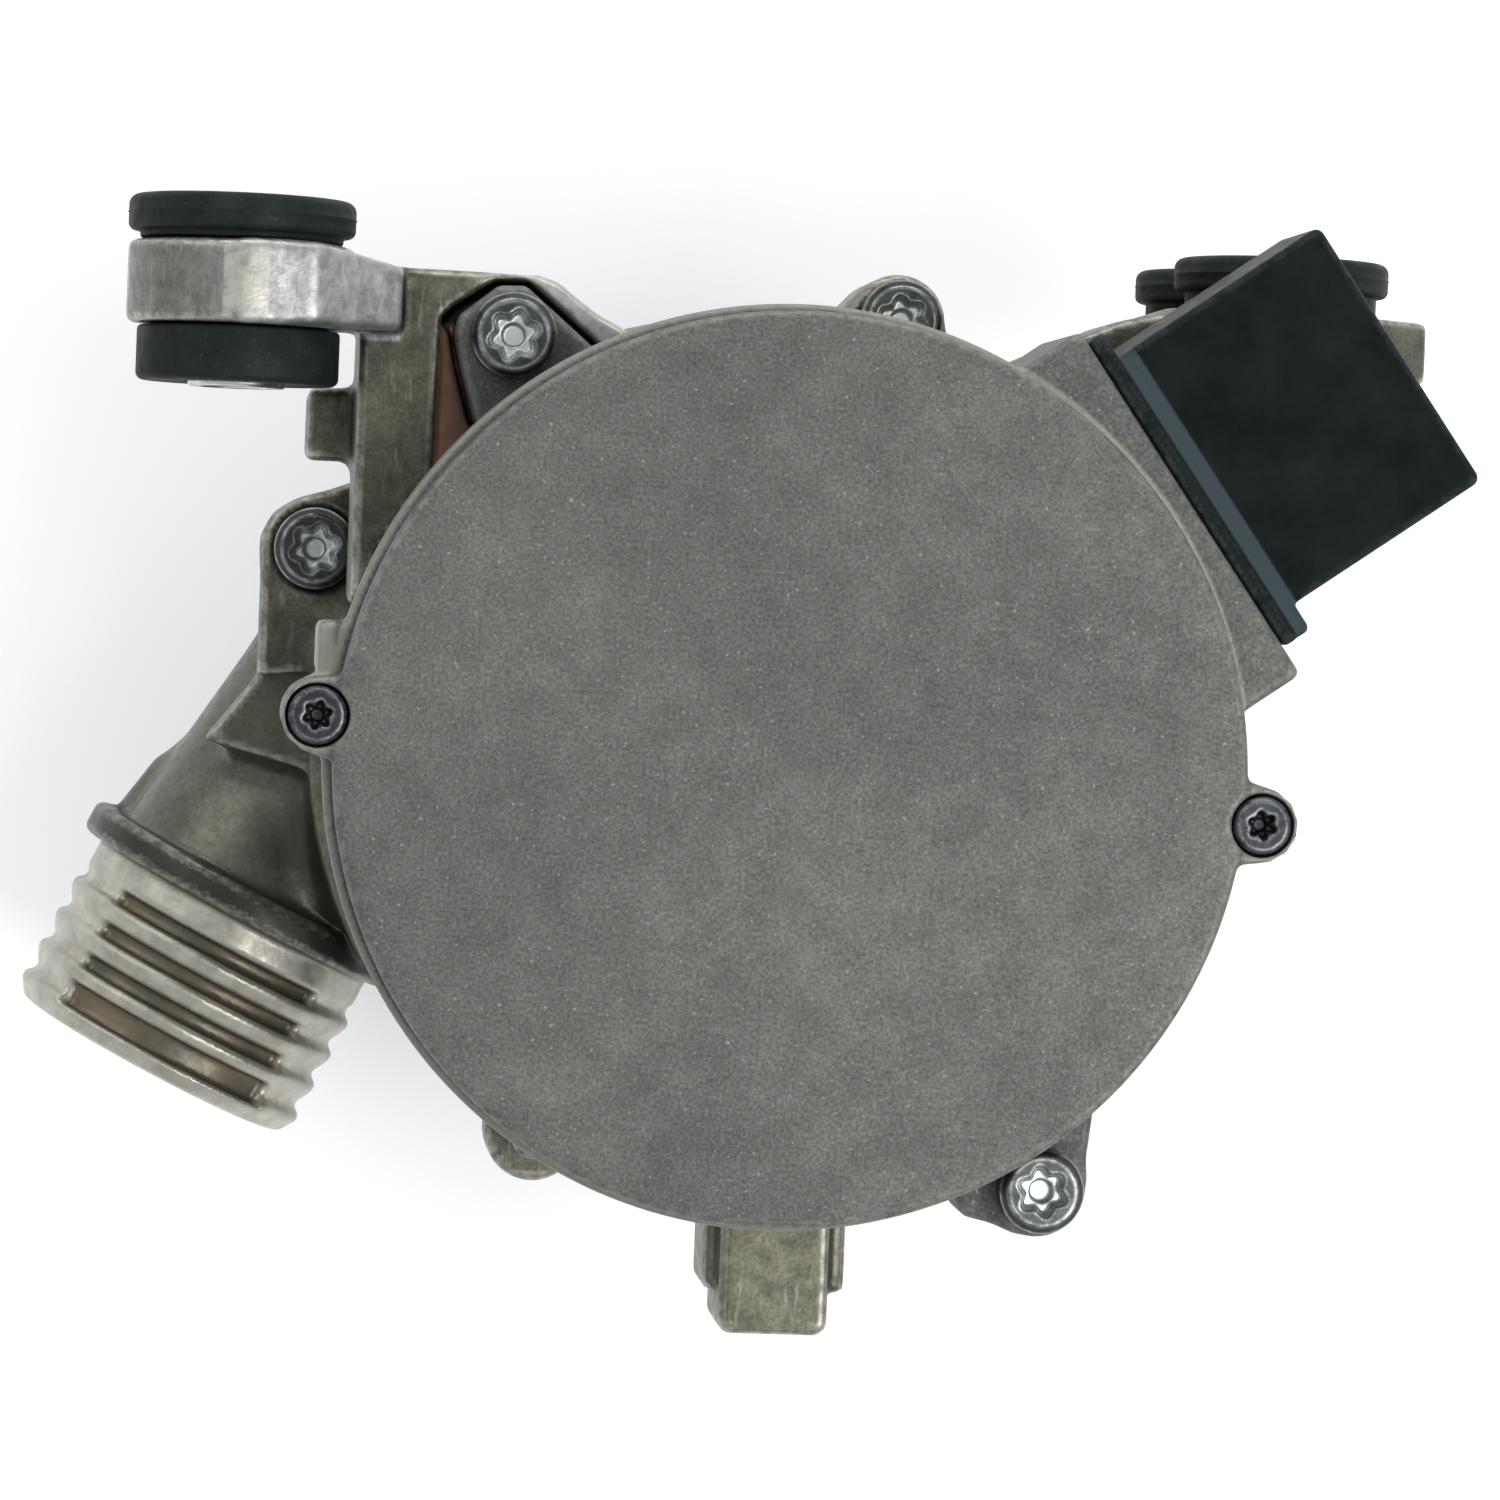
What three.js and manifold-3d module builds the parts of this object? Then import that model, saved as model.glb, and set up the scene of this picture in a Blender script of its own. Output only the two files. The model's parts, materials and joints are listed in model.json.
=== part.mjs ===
// Electric coolant pump: an electronics housing, a motor housing and a volute stacked on one shaft
// axis, hung on three rubber bushes. Millimetres. The shaft axis is Z, and +Z points out of the
// electronics cover, whose flat outer face is z = 0. +Y points to the heads of the mounting bolts.
import * as THREE from 'three';
import { mergeVertices } from 'three/addons/utils/BufferGeometryUtils.js';
import Module from 'manifold-3d';

const wasm = await Module();
wasm.setup();

// Driving dimensions
const GAP = 0.3; // between neighbouring solids
const COVER_R = 56;
const COVER_T = 3.2;
const RIM_Z = -9; // joint between the cover and the electronics housing
const RIM_R = 57.2;
const MID_Z = -34; // joint between the electronics housing and the motor housing
const FLANGE_Z = -84; // joint between the motor housing and the volute
const FLANGE_T = 8;
const BODY_R = 55.3;
const BORE_R = 46; // the stator's bore
const ROOM_R = 50; // the electronics room
const FLANGE_R = 58;
const SCREW_CIRCLE_R = 63;
const LONG_SCREWS = [{ r: SCREW_CIRCLE_R, angle: 124 }, { r: SCREW_CIRCLE_R, angle: -56 }];
const VOLUTE_SCREWS = [{ r: 63.4, angle: 156.8 }, { r: 60.8, angle: 73 }, { r: 61, angle: -8 }];
const LOWER_VOLUTE_SCREW = { r: 58, angle: -117 }; // driven from the volute's side
const COVER_SCREWS = [{ r: 58.2, angle: 175.5 }, { r: 58.2, angle: -4.5 }];
const M6 = { shank: 3, head: 5.35, headHeight: 5.3, socket: 2.9, socketDepth: 3 };
const M4 = { shank: 2, head: 3.6, headHeight: 2.8, socket: 2, socketDepth: 1.7 };
const LONG_SCREW_SEAT_Z = -24;
const COVER_LUG_Z = -3.5;
const LUG_OUTLINE = [
  [54, -5.8], [59.6, -4.4], [61.6, -3], [62.6, -1], [62.6, 1], [61.6, 3], [59.6, 4.4], [54, 5.8],
];
const LUG_DEPTH = 14;
const LONG_BOSS_R = 6.3;
const FLANGE_BOSS_R = 6.3;
const LOWER_BOSS_HIGH_Z = -70;
const BULKHEAD_T = 3; // floor of the electronics room
const SEAL_WIDTH = 3;
const COVER_SEAL_DEPTH = 2.8;

// Mounting ears and their bushes: bolt axes along Y
const EAR_LOW_Y = 52;
const EAR_BORE_R = 11.3;
const BUSHES = [
  { x: -69.3, z: -24, earHighY: 62.2 },
  { x: 67.4, z: -58, earHighY: 60.2 },
  { x: 67.4, z: -92, earHighY: 60.2 },
];
const BUSH_R = 14.1;
const BUSH_NECK_R = 12.6;
const BUSH_FLANGE_Y = 63.4;
const BUSH_TOP_Y = 67.9;
const BUSH_BOTTOM_Y = 44.9;
const SLEEVE_R = 6.1;
const SLEEVE_BORE_R = 4.3;

// Connector, in a frame with N outwards and T along the platform's face
const CONNECTOR_ANGLE = 35.4;
const PLATFORM_N = 60;
const PLATFORM_T = 25.4;
const PLATFORM_LOW_Z = -40;
const SOCKET = { n: 92.7, tCentre: 1, tHalf: 18.9, zHigh: -12, zLow: -36, wall: 2.2, floorN: 68 };
const SOCKET_FLANGE = { n: 64.4, tHalf: 22.6, lip: 1 };
const WINDOW = { tLow: -15.3, tHigh: 16.3, zLow: -30.3, zHigh: -13.7 };
const PINS = [
  { t: -10.5, width: 6.3 },
  { t: -2, width: 2.6 },
  { t: 4, width: 2.6 },
  { t: 11.5, width: 6.3 },
];
const PIN_Z = -18.5;
const PIN_T = 0.4; // half thickness
const BOARD_Z = -23; // upper face of the circuit board
const BOARD_T = 1.6;
const LEAD_ANGLES = [210, 240, 270]; // phase leads, from the board down to the windings
const LEAD_CIRCLE_R = 33;

// Pump end
const OUTLET_ANGLE = 243.7;
const OUTLET_OFFSET = 49.05; // outlet axis to shaft axis
const OUTLET_Z = -98;
const COLLAR_S = 47.3; // along the outlet axis
const MOUTH_S = 75.6;
const NOZZLE_R = 20.1;
const NOZZLE_BORE_R = 16.4;
const RIB = { first: 6.7, pitch: 4.8, count: 4, rise: 1, groove: 2.6, ramp: 0.9, back: 0.4 };
const MOUTH_ROUND = 1;
const COLLAR = { r: 23.4, thickness: 4.4 };
const VOLUTE_LOW_Z = -110;
const CHAMBER_LOW_Z = -104.6;
const INLET_COLLAR_Z = -118;
const INLET_LOW_Z = -146.6;
const IMPELLER_R = 37;

// Motor
const TEETH = 6;
const STACK_HIGH_Z = -44;
const STACK_LOW_Z = -74;
const CAN_R = 24.6;
const CAN_WALL = 1.2;
const MAGNET_R = 22.3;
const CORE_R = 11;
const SHAFT_R = 4;
const BEARING_R = 9;
const FRONT_BEARING_HIGH_Z = -75.9;
const FRONT_BEARING_LOW_Z = -89;

// Sides of a round solid
const WIDE = 44;
const FINE = 28;
const MEDIUM = 20;
const COARSE = 12;

// Solids from three.js geometry

function solidOf(geometry) {
  const bare = geometry.clone();
  bare.deleteAttribute('normal');
  bare.deleteAttribute('uv');
  const merged = mergeVertices(bare, 1e-4);
  const vertices = new Float32Array(merged.attributes.position.array);
  const triangles = [];
  let volume = 0;
  const corner = (index) => new THREE.Vector3().fromArray(vertices, index * 3);
  for (let i = 0; i < merged.index.count; i += 3) {
    const [a, b, c] = [0, 1, 2].map((k) => merged.index.getX(i + k));
    if (a === b || b === c || c === a) continue;
    triangles.push([a, b, c]);
    volume += corner(a).dot(corner(b).cross(corner(c)));
  }
  // an outline drawn the other way round gives faces that point in
  const outward = volume < 0 ? triangles.map(([a, b, c]) => [a, c, b]) : triangles;
  const mesh = new wasm.Mesh({
    numProp: 3,
    vertProperties: vertices,
    triVerts: new Uint32Array(outward.flat()),
  });
  mesh.merge();
  return new wasm.Manifold(mesh);
}

function geometryOf(solid) {
  const mesh = solid.getMesh();
  const geometry = new THREE.BufferGeometry();
  geometry.setAttribute('position', new THREE.BufferAttribute(new Float32Array(mesh.vertProperties), 3));
  geometry.setIndex(new THREE.BufferAttribute(new Uint32Array(mesh.triVerts), 1));
  return geometry;
}

const joined = (solids) => solids.reduce((whole, piece) => whole.add(piece));
const cutBy = (solid, tools) => tools.reduce((whole, tool) => whole.subtract(tool), solid);
const radians = THREE.MathUtils.degToRad;

function disc(r, zLow, zHigh, x = 0, y = 0, segments = r > 12 ? FINE : COARSE) {
  const geometry = new THREE.CylinderGeometry(r, r, zHigh - zLow, segments);
  geometry.rotateX(Math.PI / 2);
  geometry.translate(x, y, (zLow + zHigh) / 2);
  return solidOf(geometry);
}

// A cylinder along Y
function pin(r, yLow, yHigh, x, z, segments = FINE) {
  const geometry = new THREE.CylinderGeometry(r, r, yHigh - yLow, segments);
  geometry.translate(x, (yLow + yHigh) / 2, z);
  return solidOf(geometry);
}

function box(low, high) {
  const size = high.map((value, i) => value - low[i]);
  const geometry = new THREE.BoxGeometry(...size);
  geometry.translate(...low.map((value, i) => value + size[i] / 2));
  return solidOf(geometry);
}

// A body turned about Z from [radius, z] points
function turned(profile, segments = FINE) {
  const closes = profile[0][0] === 0 && profile.at(-1)[0] === 0;
  const points = (closes ? profile : [...profile, profile[0]]).map(([r, z]) => new THREE.Vector2(r, z));
  const geometry = new THREE.LatheGeometry(points, segments);
  geometry.rotateX(Math.PI / 2);
  return geometry;
}

const turnedSolid = (profile, segments) => solidOf(turned(profile, segments));
const turnedPart = (profile, segments) => geometryOf(turnedSolid(profile, segments));

function outline(points) {
  return new THREE.Shape(points.map(([x, y]) => new THREE.Vector2(x, y)));
}

function prism(shape, zLow, zHigh) {
  const geometry = new THREE.ExtrudeGeometry(shape, {
    depth: zHigh - zLow,
    bevelEnabled: false,
    curveSegments: 6,
  });
  geometry.translate(0, 0, zLow);
  return solidOf(geometry);
}

// A prism of an [x, z] outline along Y
function prismAlongY(points, yLow, yHigh) {
  const geometry = new THREE.ExtrudeGeometry(outline(points.map(([x, z]) => [x, -z])), {
    depth: yHigh - yLow,
    bevelEnabled: false,
  });
  geometry.rotateX(-Math.PI / 2);
  geometry.translate(0, yLow, 0);
  return solidOf(geometry);
}

const polar = (r, degrees) => [r * Math.cos(radians(degrees)), r * Math.sin(radians(degrees))];

const screwPlace = ({ r, angle }) => polar(r, angle);

// [u, v] points, u outwards at an angle and v across it, to [x, y]
function turnedOutline(points, angle) {
  return points.map(([u, v]) => {
    const [ux, uy] = polar(u, angle);
    const [vx, vy] = polar(v, angle + 90);
    return [ux + vx, uy + vy];
  });
}

// [n, t] in the connector's frame to [x, y]
function platformPoint([n, t]) {
  const angle = radians(CONNECTOR_ANGLE);
  return [n * Math.cos(angle) - t * Math.sin(angle), n * Math.sin(angle) + t * Math.cos(angle)];
}

function platformBlock(nLow, nHigh, tLow, tHigh, zLow, zHigh) {
  const corners = [[nLow, tLow], [nHigh, tLow], [nHigh, tHigh], [nLow, tHigh]];
  return prism(outline(corners.map(platformPoint)), zLow, zHigh);
}

// [s, v] in the outlet's frame, s along the pipe and v outwards, to [x, y]
function outletPoint([s, v]) {
  const angle = radians(OUTLET_ANGLE);
  const across = OUTLET_OFFSET + v;
  return [
    s * Math.cos(angle) + across * Math.sin(angle),
    s * Math.sin(angle) - across * Math.cos(angle),
  ];
}

// A body turned about the outlet pipe's axis from [radius, s] points
function turnedOnOutlet(profile) {
  const geometry = turned(profile, MEDIUM);
  geometry.rotateY(Math.PI / 2);
  geometry.rotateZ(radians(OUTLET_ANGLE));
  geometry.translate(...outletPoint([0, 0]), OUTLET_Z);
  return solidOf(geometry);
}

// Barbs for a hose, from the collar to the mouth: steep towards the collar, tapered towards the mouth
function ribProfile(start, mouth) {
  const toMouth = Math.sign(mouth - start);
  const points = [[NOZZLE_R + RIB.back, start]];
  for (let i = 0; i < RIB.count; i += 1) {
    const crest = RIB.first + i * RIB.pitch;
    points.push([NOZZLE_R + RIB.back, start + toMouth * (crest - RIB.groove)]);
    points.push([NOZZLE_R, start + toMouth * (crest - RIB.groove + RIB.back)]);
    points.push([NOZZLE_R, start + toMouth * (crest - RIB.ramp)]);
    points.push([NOZZLE_R + RIB.rise, start + toMouth * crest]);
  }
  points.push([NOZZLE_R + RIB.back, mouth - toMouth * MOUTH_ROUND]);
  points.push([NOZZLE_R - MOUTH_ROUND, mouth]);
  return points;
}

// Six-lobed socket, drawn as a star
function socketCut(r, zLow, zHigh) {
  const points = [];
  for (let i = 0; i < 12; i += 1) points.push(polar(i % 2 ? r * 0.74 : r, i * 30));
  return prism(outline(points), zLow, zHigh);
}

// A screw whose head's underside is at z = 0
function screwSolid(size, length) {
  const head = turnedSolid([
    [0, -length],
    [size.shank - 0.5, -length],
    [size.shank, -length + 0.5],
    [size.shank, 0],
    [size.head, 0],
    [size.head, size.headHeight - 0.7],
    [size.head - 0.7, size.headHeight],
    [0, size.headHeight],
  ], COARSE);
  return head.subtract(socketCut(size.socket, size.headHeight - size.socketDepth, size.headHeight + 1));
}

// Materials

const finish = (color, roughness, metalness) => () =>
  new THREE.MeshStandardMaterial({ color, roughness, metalness });
const BLASTED = finish(0x71726d, 0.65, 0.6);
const CASTING = finish(0x6f6e62, 0.5, 0.75);
const TURNED_ALUMINIUM = finish(0xc4c4b4, 0.35, 0.9);
const ZINC_STEEL = finish(0x6b6f70, 0.35, 0.9);
const BLACK_STEEL = finish(0x33353a, 0.45, 0.8);
const BRIGHT_STEEL = finish(0xc0c2c4, 0.25, 1);
const RUBBER = finish(0x232a29, 0.7, 0);
const BLACK_PLASTIC = finish(0x14191a, 0.5, 0);
const CAN_PLASTIC = finish(0x2b2a26, 0.55, 0);
const IMPELLER_PLASTIC = finish(0x4a4538, 0.6, 0);
const TIN = finish(0xcfcdc4, 0.3, 1);
const COPPER = finish(0xb06a3c, 0.4, 1);
const LAMINATION = finish(0x5a5d60, 0.5, 0.8);
const MAGNET = finish(0x3b3d40, 0.5, 0.4);
const CARBON = finish(0x26272a, 0.5, 0);
const BOARD_GREEN = finish(0x1f5a35, 0.6, 0);
const CAN_ALUMINIUM = finish(0xb5b8bb, 0.35, 1);
const CHIP_BLACK = finish(0x1b1b1d, 0.5, 0);
const FERRITE = finish(0x4f5257, 0.7, 0);

const pump = new THREE.Group();
pump.name = 'water_pump';

function addPart(parent, name, geometry, material) {
  const mesh = new THREE.Mesh(geometry, material());
  mesh.name = name;
  parent.add(mesh);
  return mesh;
}

// Electronics end

function coverSolid() {
  const cap = turnedSolid([
    [0, 0],
    [COVER_R - 1.4, 0],
    [COVER_R, -1.2],
    [COVER_R, RIM_Z + GAP],
    [ROOM_R - 0.5, RIM_Z + GAP],
    [ROOM_R - 0.5, -COVER_T],
    [0, -COVER_T],
  ], WIDE);
  const lugs = COVER_SCREWS.map(({ angle }) =>
    prism(outline(turnedOutline(LUG_OUTLINE, angle)), RIM_Z + GAP, COVER_LUG_Z));
  const holes = COVER_SCREWS.map((place) => disc(M4.shank + GAP, RIM_Z - 1, 1, ...screwPlace(place)));
  const headRooms = COVER_SCREWS.map((place) => disc(M4.head + GAP, COVER_LUG_Z, 1, ...screwPlace(place)));
  return cutBy(joined([cap, ...lugs]), [...holes, ...headRooms]);
}

const upperBossOutline = outline([
  [-37, 36], [-39.5, 41.6], [-41.4, 47.8], [-42.5, 52.5], [-42, 54.7],
  [-37.1, 58.6], [-33.7, 58.7], [-24.5, 51], [-22, 44],
]);
const lowerBossWeb = outline([[24, -47], [26.1, -56.4], [32.5, -58], [41.2, -51], [42.6, -40]]);

function electronicsHousingSolid() {
  const shell = turnedSolid([
    [0, MID_Z + BULKHEAD_T],
    [0, MID_Z],
    [BODY_R + 0.5, MID_Z],
    [BODY_R + 0.5, RIM_Z - 5.5],
    [RIM_R, RIM_Z - 3.5],
    [RIM_R, RIM_Z],
    [ROOM_R, RIM_Z],
    [ROOM_R, MID_Z + BULKHEAD_T],
  ], WIDE);
  const lugs = COVER_SCREWS.map(({ angle }) =>
    prism(outline(turnedOutline(LUG_OUTLINE, angle)), RIM_Z - LUG_DEPTH, RIM_Z));
  const gate = box([-58.3, 9.4, -30], [-54, 16, RIM_Z - 0.4]); // rough stub left by the casting gate
  const upperBoss = prism(upperBossOutline, MID_Z, LONG_SCREW_SEAT_Z);
  const lowerBoss = disc(LONG_BOSS_R, MID_Z, LONG_SCREW_SEAT_Z, ...screwPlace(LONG_SCREWS[1]))
    .add(prism(lowerBossWeb, MID_Z, LONG_SCREW_SEAT_Z));
  const platform = platformBlock(36, PLATFORM_N, -PLATFORM_T, PLATFORM_T, MID_Z, RIM_Z)
    .add(platformBlock(BODY_R + 1.5, PLATFORM_N, -PLATFORM_T, PLATFORM_T, PLATFORM_LOW_Z, MID_Z + 1));
  const room = disc(ROOM_R, MID_Z + BULKHEAD_T, RIM_Z + 1);
  const sealGroove = disc(ROOM_R + SEAL_WIDTH, RIM_Z - COVER_SEAL_DEPTH, RIM_Z + 1);
  const coverHoles = COVER_SCREWS.map((place) =>
    disc(M4.shank + GAP, RIM_Z - LUG_DEPTH + 1.5, RIM_Z + 1, ...screwPlace(place)));
  const longHoles = LONG_SCREWS.map((place) =>
    disc(M6.shank + GAP, MID_Z - 1, LONG_SCREW_SEAT_Z + 1, ...screwPlace(place)));
  const window = platformBlock(40, PLATFORM_N + 1, WINDOW.tLow, WINDOW.tHigh, WINDOW.zLow, WINDOW.zHigh);
  const leadHoles = LEAD_ANGLES.map((angle) =>
    disc(2.1, MID_Z - 1, MID_Z + BULKHEAD_T + 1, ...polar(LEAD_CIRCLE_R, angle)));
  return cutBy(joined([shell, ...lugs, gate, upperBoss, lowerBoss, platform]),
    [room, sealGroove, ...coverHoles, ...longHoles, window, ...leadHoles]);
}

function addElectronicsEnd() {
  addPart(pump, 'electronics_cover', geometryOf(coverSolid()), BLASTED);
  addPart(pump, 'electronics_housing', geometryOf(electronicsHousingSolid()), BLASTED);
  addPart(pump, 'cover_seal', turnedPart([
    [ROOM_R + GAP, RIM_Z],
    [ROOM_R + SEAL_WIDTH - GAP, RIM_Z],
    [ROOM_R + SEAL_WIDTH - GAP, RIM_Z - COVER_SEAL_DEPTH + GAP],
    [ROOM_R + GAP, RIM_Z - COVER_SEAL_DEPTH + GAP],
  ]), RUBBER);
  const coverScrew = geometryOf(screwSolid(M4, 17));
  ['left', 'right'].forEach((side, i) => {
    const screw = addPart(pump, `cover_screw_${side}`, coverScrew, BLACK_STEEL);
    screw.position.set(...screwPlace(COVER_SCREWS[i]), COVER_LUG_Z + GAP);
  });
  const longScrew = geometryOf(screwSolid(M6, 26));
  ['upper', 'lower'].forEach((place, i) => {
    const screw = addPart(pump, `housing_screw_${place}`, longScrew, ZINC_STEEL);
    screw.position.set(...screwPlace(LONG_SCREWS[i]), LONG_SCREW_SEAT_Z + GAP);
  });
}

function addCircuit() {
  const board = disc(46.5, BOARD_Z - BOARD_T, BOARD_Z)
    .subtract(disc(3.4, BOARD_Z - 3, BOARD_Z + 1, 0, 41))
    .subtract(disc(3.4, BOARD_Z - 3, BOARD_Z + 1, 0, -41));
  addPart(pump, 'circuit_board', geometryOf(board), BOARD_GREEN);
  const seat = BOARD_Z + GAP;
  [[-30, 14], [-33, 0], [-30, -14]].forEach(([x, y], i) => {
    const can = addPart(pump, `capacitor_${i + 1}`, turnedPart([
      [0, 0], [6, 0], [6, 2], [5.6, 2.6], [6, 3.2], [6, 14.4], [5.4, 15], [0, 15],
    ], COARSE), CAN_ALUMINIUM);
    can.position.set(x, y, seat);
  });
  const choke = addPart(pump, 'choke_coil', turnedPart([[5, 0], [11, 0], [11, 9], [5, 9]], COARSE), FERRITE);
  choke.position.set(-8, 26, seat);
  [-17, 0, 17].forEach((x, i) => {
    const block = new THREE.BoxGeometry(10, 9.2, 4.4);
    const transistor = addPart(pump, `power_transistor_${i + 1}`, block, CHIP_BLACK);
    transistor.position.set(x, -26, seat + 2.2);
  });
  const chip = addPart(pump, 'control_chip', new THREE.BoxGeometry(12, 12, 1.6), CHIP_BLACK);
  chip.position.set(6, 2, seat + 0.8);
  LEAD_ANGLES.forEach((angle, i) => {
    const rod = disc(1.3, STACK_HIGH_Z + 5, BOARD_Z - BOARD_T - GAP);
    const lead = addPart(pump, `phase_lead_${i + 1}`, geometryOf(rod), COPPER);
    lead.position.set(...polar(LEAD_CIRCLE_R, angle), 0);
  });
}

function connectorShellSolid() {
  const { n, tCentre, tHalf, zHigh, zLow, wall, floorN } = SOCKET;
  const { lip } = SOCKET_FLANGE;
  const flange = platformBlock(PLATFORM_N + GAP, SOCKET_FLANGE.n, tCentre - SOCKET_FLANGE.tHalf,
    tCentre + SOCKET_FLANGE.tHalf, zLow - 2 * lip, zHigh + lip);
  const barrel = platformBlock(60.5, n, tCentre - tHalf, tCentre + tHalf, zLow, zHigh);
  const { tLow, tHigh, zLow: windowLow, zHigh: windowHigh } = WINDOW;
  const spigot = platformBlock(52, 62, tLow + GAP, tHigh - GAP, windowLow + GAP, windowHigh - GAP);
  const socket = platformBlock(floorN, n + 1, tCentre - tHalf + wall, tCentre + tHalf - wall,
    zLow + wall, zHigh - wall);
  const sealGroove = platformBlock(56, 58.6, -20, 20, -32, -10)
    .subtract(platformBlock(55, 59.6, -13.6, 14.6, -28.6, -15.4));
  const pinSlots = PINS.map(({ t, width }) =>
    platformBlock(50, floorN + 1, t - width / 2 - GAP, t + width / 2 + GAP,
      PIN_Z - PIN_T - GAP, PIN_Z + PIN_T + GAP));
  return cutBy(joined([flange, barrel, spigot]), [socket, sealGroove, ...pinSlots]);
}

function addConnector() {
  addPart(pump, 'connector_shell', geometryOf(connectorShellSolid()), BLACK_PLASTIC);
  const { tLow, tHigh, zLow, zHigh } = WINDOW;
  const seal = platformBlock(56.3, 58.3, tLow + GAP, tHigh - GAP, zLow + GAP, zHigh - GAP)
    .subtract(platformBlock(55, 60, -13.9, 14.9, -28.9, -15.1));
  addPart(pump, 'connector_seal', geometryOf(seal), RUBBER);
  PINS.forEach(({ t, width }, i) => {
    const blade = platformBlock(41.5, 84, t - width / 2, t + width / 2, PIN_Z - PIN_T, PIN_Z + PIN_T)
      .add(platformBlock(41.5, 42.4, t - width / 2, t + width / 2, BOARD_Z + GAP, PIN_Z));
    addPart(pump, `connector_pin_${i + 1}`, geometryOf(blade), TIN);
  });
}

// Motor housing with its ears

const bracketOutline = outline([
  [-40, 20], [-54.2, 18.4], [-54.2, 60.6], [-49.5, 60.4], [-32, 60.2],
  [-29.4, 59.3], [-26.9, 57.3], [-24.3, 55.5], [-21.4, 54.1], [-15, 48],
]);
const bossRoomOutline = outline([
  [-34, 30], [-44.6, 34], [-44.1, 54.3], [-42.8, 55.7],
  [-37.4, 59.3], [-33.3, 59.4], [-23.6, 51.2], [-20, 44],
]);
const flangePlateOutline = outline([
  [-40, 36], [-53.6, 34], [-60.5, 31.3], [-63.7, 29.4], [-65.2, 26.4], [-65.2, 8], [-54, 9], [-45, 0],
]);

function earOne() {
  const { x, z, earHighY } = BUSHES[0];
  const r = 14;
  const arm = [[x, z + r], [-60, z + 13], [-49.2, z + 5], [-49.2, z - 16], [-60, z - r], [x, z - r]];
  return pin(r, EAR_LOW_Y, earHighY, x, z).add(prismAlongY(arm, EAR_LOW_Y + GAP, earHighY - 1.3));
}

// One block holds the second and third bushes; a web under it runs back to the body
function twinEars() {
  const [, second, third] = BUSHES;
  const { x, earHighY } = second;
  const left = x - 16.4;
  const right = x + 18.1;
  const high = second.z + 16.4;
  const low = third.z - 16.4;
  const corner = 8;
  const block = [
    [left, low + corner], [left + corner, low], [right - corner, low], [right, low + corner],
    [right, high - corner], [right - corner, high], [left + corner, high], [left, high - corner],
  ];
  const web = outline([[24, 46], [33, 53.5], [44.4, 58.6], [49.5, earHighY - 0.4], [70, earHighY - 0.4],
    [72, EAR_LOW_Y + 0.2], [57, 40], [50, 20]]);
  return prismAlongY(block, EAR_LOW_Y, earHighY).add(prism(web, -74, -46));
}

function bracketSolid() {
  const foot = prism(bracketOutline, MID_Z - 22, MID_Z - GAP);
  const raised = prism(bracketOutline, MID_Z - 1, -26);
  const bossRoom = prism(bossRoomOutline, MID_Z - GAP, 0);
  const housingRoom = disc(BODY_R + 0.9, MID_Z - GAP, 0, 0, 0, WIDE);
  return foot.add(raised.subtract(bossRoom).subtract(housingRoom));
}

function footSolid() {
  const main = outline([
    [-2.6, -50], [-2.6, -73.7], [-1.4, -74.9], [10.6, -74.9], [11.8, -73.7], [11.8, -50],
  ]);
  const sides = box([-4.6, -69.4, -64], [14, -50, -50]);
  return prism(main, -62, -48).add(sides);
}

function screwBosses(places, r, zLow, zHigh) {
  return places.map((place) => {
    const web = turnedOutline([[48, -8], [place.r, -r], [place.r, r], [48, 8]], place.angle);
    return disc(r, zLow, zHigh, ...screwPlace(place)).add(prism(outline(web), zLow, zHigh));
  });
}

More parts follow.
